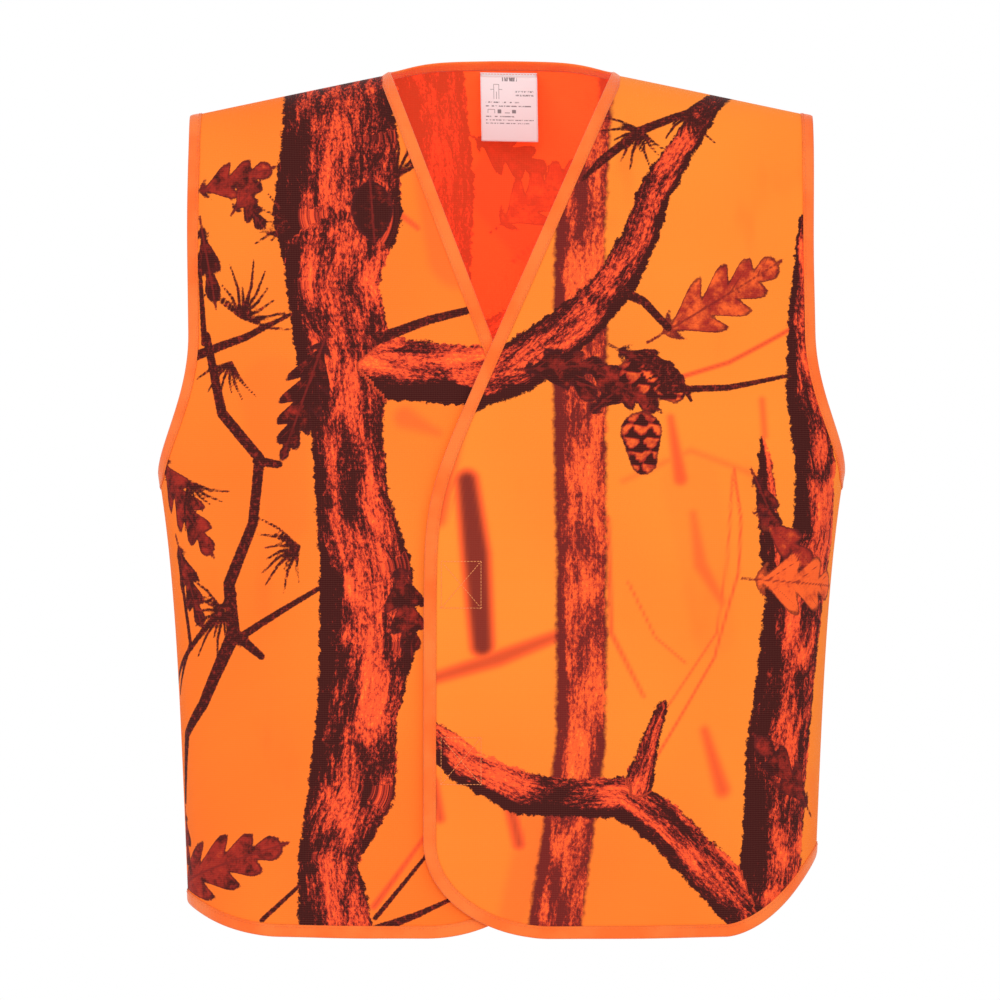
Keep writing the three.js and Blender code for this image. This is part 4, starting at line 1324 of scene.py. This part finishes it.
def pile_tree():
    sizes = {"Height": 0.0005, "Thread radius": 0.0001, "Sweep": math.pi}
    tree, start, place = thread_tree("closure_pile", "Points", sizes, "Pile")
    add, link = tree.nodes.new, tree.links.new
    arc, profile = add("GeometryNodeCurveArc"), add("GeometryNodeCurvePrimitiveCircle")
    thread, stand = add("GeometryNodeCurveToMesh"), add("GeometryNodeTransform")
    arc.inputs["Resolution"].default_value = 6
    profile.inputs["Resolution"].default_value = 4
    stand.inputs["Rotation"].default_value = (math.pi / 2, 0, 0)
    out = add("GeometryNodeInputNamedAttribute")
    out.data_type = "FLOAT_VECTOR"
    out.inputs["Name"].default_value = "out"
    lean, spin = add("FunctionNodeAlignRotationToVector"), add("FunctionNodeRotateRotation")
    chance, turn = add("FunctionNodeRandomValue"), add("FunctionNodeEulerToRotation")
    lean.axis = "Z"
    spin.rotation_space = "LOCAL"
    chance.data_type = "FLOAT_VECTOR"
    chance.inputs["Min"].default_value = (-0.25, -0.25, 0)
    chance.inputs["Max"].default_value = (0.25, 0.25, 6.28)
    chance.inputs["Seed"].default_value = 11
    link(start.outputs["Height"], arc.inputs["Radius"])
    link(start.outputs["Sweep"], arc.inputs["Sweep Angle"])
    link(start.outputs["Thread radius"], profile.inputs["Radius"])
    link(arc.outputs["Curve"], thread.inputs["Curve"])
    link(profile.outputs["Curve"], thread.inputs["Profile Curve"])
    link(thread.outputs[0], stand.inputs["Geometry"])
    link(out.outputs["Attribute"], lean.inputs["Vector"])
    link(chance.outputs["Value"], turn.inputs[0])
    link(lean.outputs[0], spin.inputs["Rotation"])
    link(turn.outputs[0], spin.inputs["Rotate By"])
    link(start.outputs["Points"], place.inputs["Points"])
    link(stand.outputs[0], place.inputs["Instance"])
    link(spin.outputs[0], place.inputs["Rotation"])
    return tree


pile = pile_tree()


def grow(name, panel, z_middle, offset, facing, thread, height, radius, sweep):
    """Pile over one pad. `facing` is 1 where it stands outward and -1 where it stands inward."""
    x = PATCH_X + np.linspace(-0.47, 0.47, 17) * PATCH_SIZE[0]
    z = z_middle + np.linspace(-0.47, 0.47, 19) * PATCH_SIZE[1]
    x, z = (grid.ravel() for grid in np.meshgrid(x, z))
    psi = psi_of(x, z)
    points = cloth_point(psi, z, panel, offset)
    mesh = bpy.data.meshes.new(name + "_points")
    mesh.from_pydata((points * MM).tolist(), [], [])
    store(mesh, "out", skin_normal(psi, z) * facing)
    sizes = {"Height": height * MM, "Thread radius": radius * MM, "Sweep": sweep}
    return grown_from(name, mesh, pile, sizes, thread)


pads, piles = {}, {}
for level, z_middle in PATCH_ZS.items():
    pads[level, "hook"] = pad(f"{level}_hook_pad", "left", z_middle, -PAD_FAR, -PAD_NEAR)
    pads[level, "loop"] = pad(f"{level}_loop_pad", "right", z_middle, PAD_NEAR, PAD_FAR)
    for kind, panel, facing, finish, sweep in (("hook", "left", -1, hook_finish, 2.4),
                                               ("loop", "right", 1, loop_finish, math.pi)):
        pads[level, kind].data.materials.append(finish)
        piles[level, kind] = grow(f"{level}_{kind}_pile", panel, z_middle, facing * PAD_FAR, facing,
                                  finish, PILE_HEIGHT, PILE_THREAD, sweep)

# %% [markdown]
# Each pad is sewn on through the front with a box and a cross, which shows on the outside as a pale
# square of stitches. The tapes have one row of stitches near their inner edge on both faces.

# %% Sewing
def edge_rows(names):
    rows = []
    for name in names:
        psi, z, panel, closed = edges[name]
        for out in (TAPE_TOP, -TAPE_TOP):
            row = beside_edge(psi, z, panel, STITCH_IN, out, closed)
            rows.append(np.concatenate([row, row[:1]]) if closed else row)
    return rows


def box_rows(panel, offset):
    """A box with a cross in it over each patch, sewn in one go."""
    rows = []
    half = np.array([PATCH_SIZE[0] / 2 - 2.4, PATCH_SIZE[1] / 2 - 1.6])
    corners = np.array([(-1, -1), (1, -1), (1, 1), (-1, 1), (-1, -1), (1, 1), (1, -1), (-1, 1)])
    share = np.linspace(0, 1, 14)[:-1, None]
    turns = np.concatenate([a + (b - a) * share for a, b in zip(corners[:-1], corners[1:])])
    for z_middle in PATCH_ZS.values():
        x, z = ([PATCH_X, z_middle] + half * turns).T
        rows.append(cloth_point(psi_of(x, z), z, panel, offset))
    return rows


label_row = [label_points[1] + [0, -0.25, 0]]
still_edges = [name for name in edges if "front" not in name]
stitches = {
    "left": sew("left_front_stitches", edge_rows(["left_front"]), thread_finish),
    "right": sew("right_front_stitches", edge_rows(["right_front"]), thread_finish),
    "shell": sew("body_stitches", edge_rows(still_edges), thread_finish),
    "left_box": sew("closure_box_stitches", box_rows("left", 0.5), box_thread, 2.6, 2.3, 0.27),
    "right_box": sew("loop_pad_stitches", box_rows("right", 1.4), box_thread, 2.6, 2.3, 0.22),
    "label": sew("label_stitches", label_row, thread_finish, 2.4, 1.9, 0.2),
}

# %% [markdown]
# ## Joining it to the frame
# The shell pieces, the seams, the pads, their pile and their stitches each ride the body they belong to,
# and the imported parts they stand for are hidden. The fronts, their tapes and their stitches cross
# the fold line; they and the label only have their placing baked into their meshes.


def bend_at_fold(obj, panel):
    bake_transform(obj)


for panel in ("left", "right"):
    cloth = sheets[panel][0]
    for finish in cloth_finishes:
        cloth.data.materials.append(finish)
    tape_piece = tapes[f"{panel}_front"]
    for piece in (cloth, tape_piece, stitches[panel]):
        bend_at_fold(piece, panel)
    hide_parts(f"{panel}_front_side", f"{panel}_front_flap")
    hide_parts(f"{panel}_neck_binding", f"{panel}_front_edge_binding", f"{panel}_hem_binding")

back = sheets["back"][0]
for finish in cloth_finishes:
    back.data.materials.append(finish)
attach(back, "shell")
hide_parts("back_panel")
for name, piece in tapes.items():
    piece.data.materials.append(tape_finish)
    if "front" not in name:
        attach(piece, "shell")
        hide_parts(name + "_binding")
for name, piece in seams.items():
    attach(piece, "shell")
    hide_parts(name)
for piece in (stitches["shell"], stitches["label"], overlock_rows):
    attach(piece, "shell")
for (level, kind), piece in pads.items():
    body = "left_flap" if kind == "hook" else "right_flap"
    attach(piece, body)
    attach(piles[level, kind], body)
    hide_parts(f"{level}_{kind}_patch")
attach(stitches["left_box"], "left_flap")
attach(stitches["right_box"], "right_flap")
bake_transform(label)
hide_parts("care_label")
made = (stitches, tapes, seams, pads, piles, sheets)
print("pieces on the frame:", sum(map(len, made)) + len([overlock_rows, label]))

# %% [markdown]
# The area of each panel is measured on its outline laid flat.

# %% Cloth sizes
def flat_area(obj):
    """The area of one side of the sheet's UV map, in square metres."""
    mesh = obj.data
    uv = np.empty(2 * len(mesh.loops), dtype=np.float32)
    mesh.uv_layers["cloth"].data.foreach_get("uv", uv)
    uv = uv.reshape(-1, 4, 2)
    one, two = uv[:, 2] - uv[:, 0], uv[:, 3] - uv[:, 1]
    return float(np.abs(one[:, 0] * two[:, 1] - one[:, 1] * two[:, 0]).sum() / 4)


for panel, (cloth, size) in sheets.items():
    area = flat_area(cloth)

# %% [markdown]
# The stage is a pale floor well below the hem and a soft even light from all round, with one large
# lamp in front, and three weaker ones at the sides and behind for a little shape.

# %% Floor and light
floor_mesh = bpy.data.meshes.new("floor")
floor_z, floor_half = -1.6, 9
corners = [(x * floor_half, y * floor_half, floor_z) for x, y in ((-1, -1), (1, -1), (1, 1), (-1, 1))]
floor_mesh.from_pydata(corners, [], [(0, 1, 2, 3)])
floor_piece = placed("floor", floor_mesh)
floor_finish = Finish("pale_floor", roughness=0.9)
floor_finish.colour((0.9, 0.9, 0.9))
floor_mesh.materials.append(floor_finish.material)


def soft_light(name, place, aim, size, power):
    lamp = placed(name, bpy.data.lights.new(name, "AREA"))
    lamp.data.shape = "SQUARE"
    lamp.data.size = size
    lamp.data.energy = power
    lamp.location = place
    lamp.rotation_euler = (Vector(aim) - Vector(place)).to_track_quat("-Z", "Y").to_euler()


soft_light("front_window", (0.1, -4.2, 0.9), (0, 0, -0.3), 1.6, 40)
soft_light("left_window", (-2.2, -2.6, 0.9), (0, 0, -0.3), 1.8, 16)
soft_light("right_window", (2.4, -2.4, 0.6), (0, 0, -0.3), 1.8, 8)
soft_light("back_window", (0.4, 2.8, 1.2), (0, 0, -0.2), 1.8, 8)
world = bpy.data.worlds.new("studio")
bpy.context.scene.world = world
world.use_nodes = True
background = world.node_tree.nodes["Background"]
background.inputs["Color"].default_value = (1, 1, 1, 1)
# the surround lights the cloth a little less than it is seen, or the print would look washed out
seen = world.node_tree.nodes.new("ShaderNodeLightPath")
strength = world.node_tree.nodes.new("ShaderNodeMapRange")
strength.inputs["To Min"].default_value = 0.80
strength.inputs["To Max"].default_value = 1.0
world.node_tree.links.new(seen.outputs["Is Camera Ray"], strength.inputs["Value"])
world.node_tree.links.new(strength.outputs["Result"], background.inputs["Strength"])
bpy.context.scene.view_settings.view_transform = "Standard"
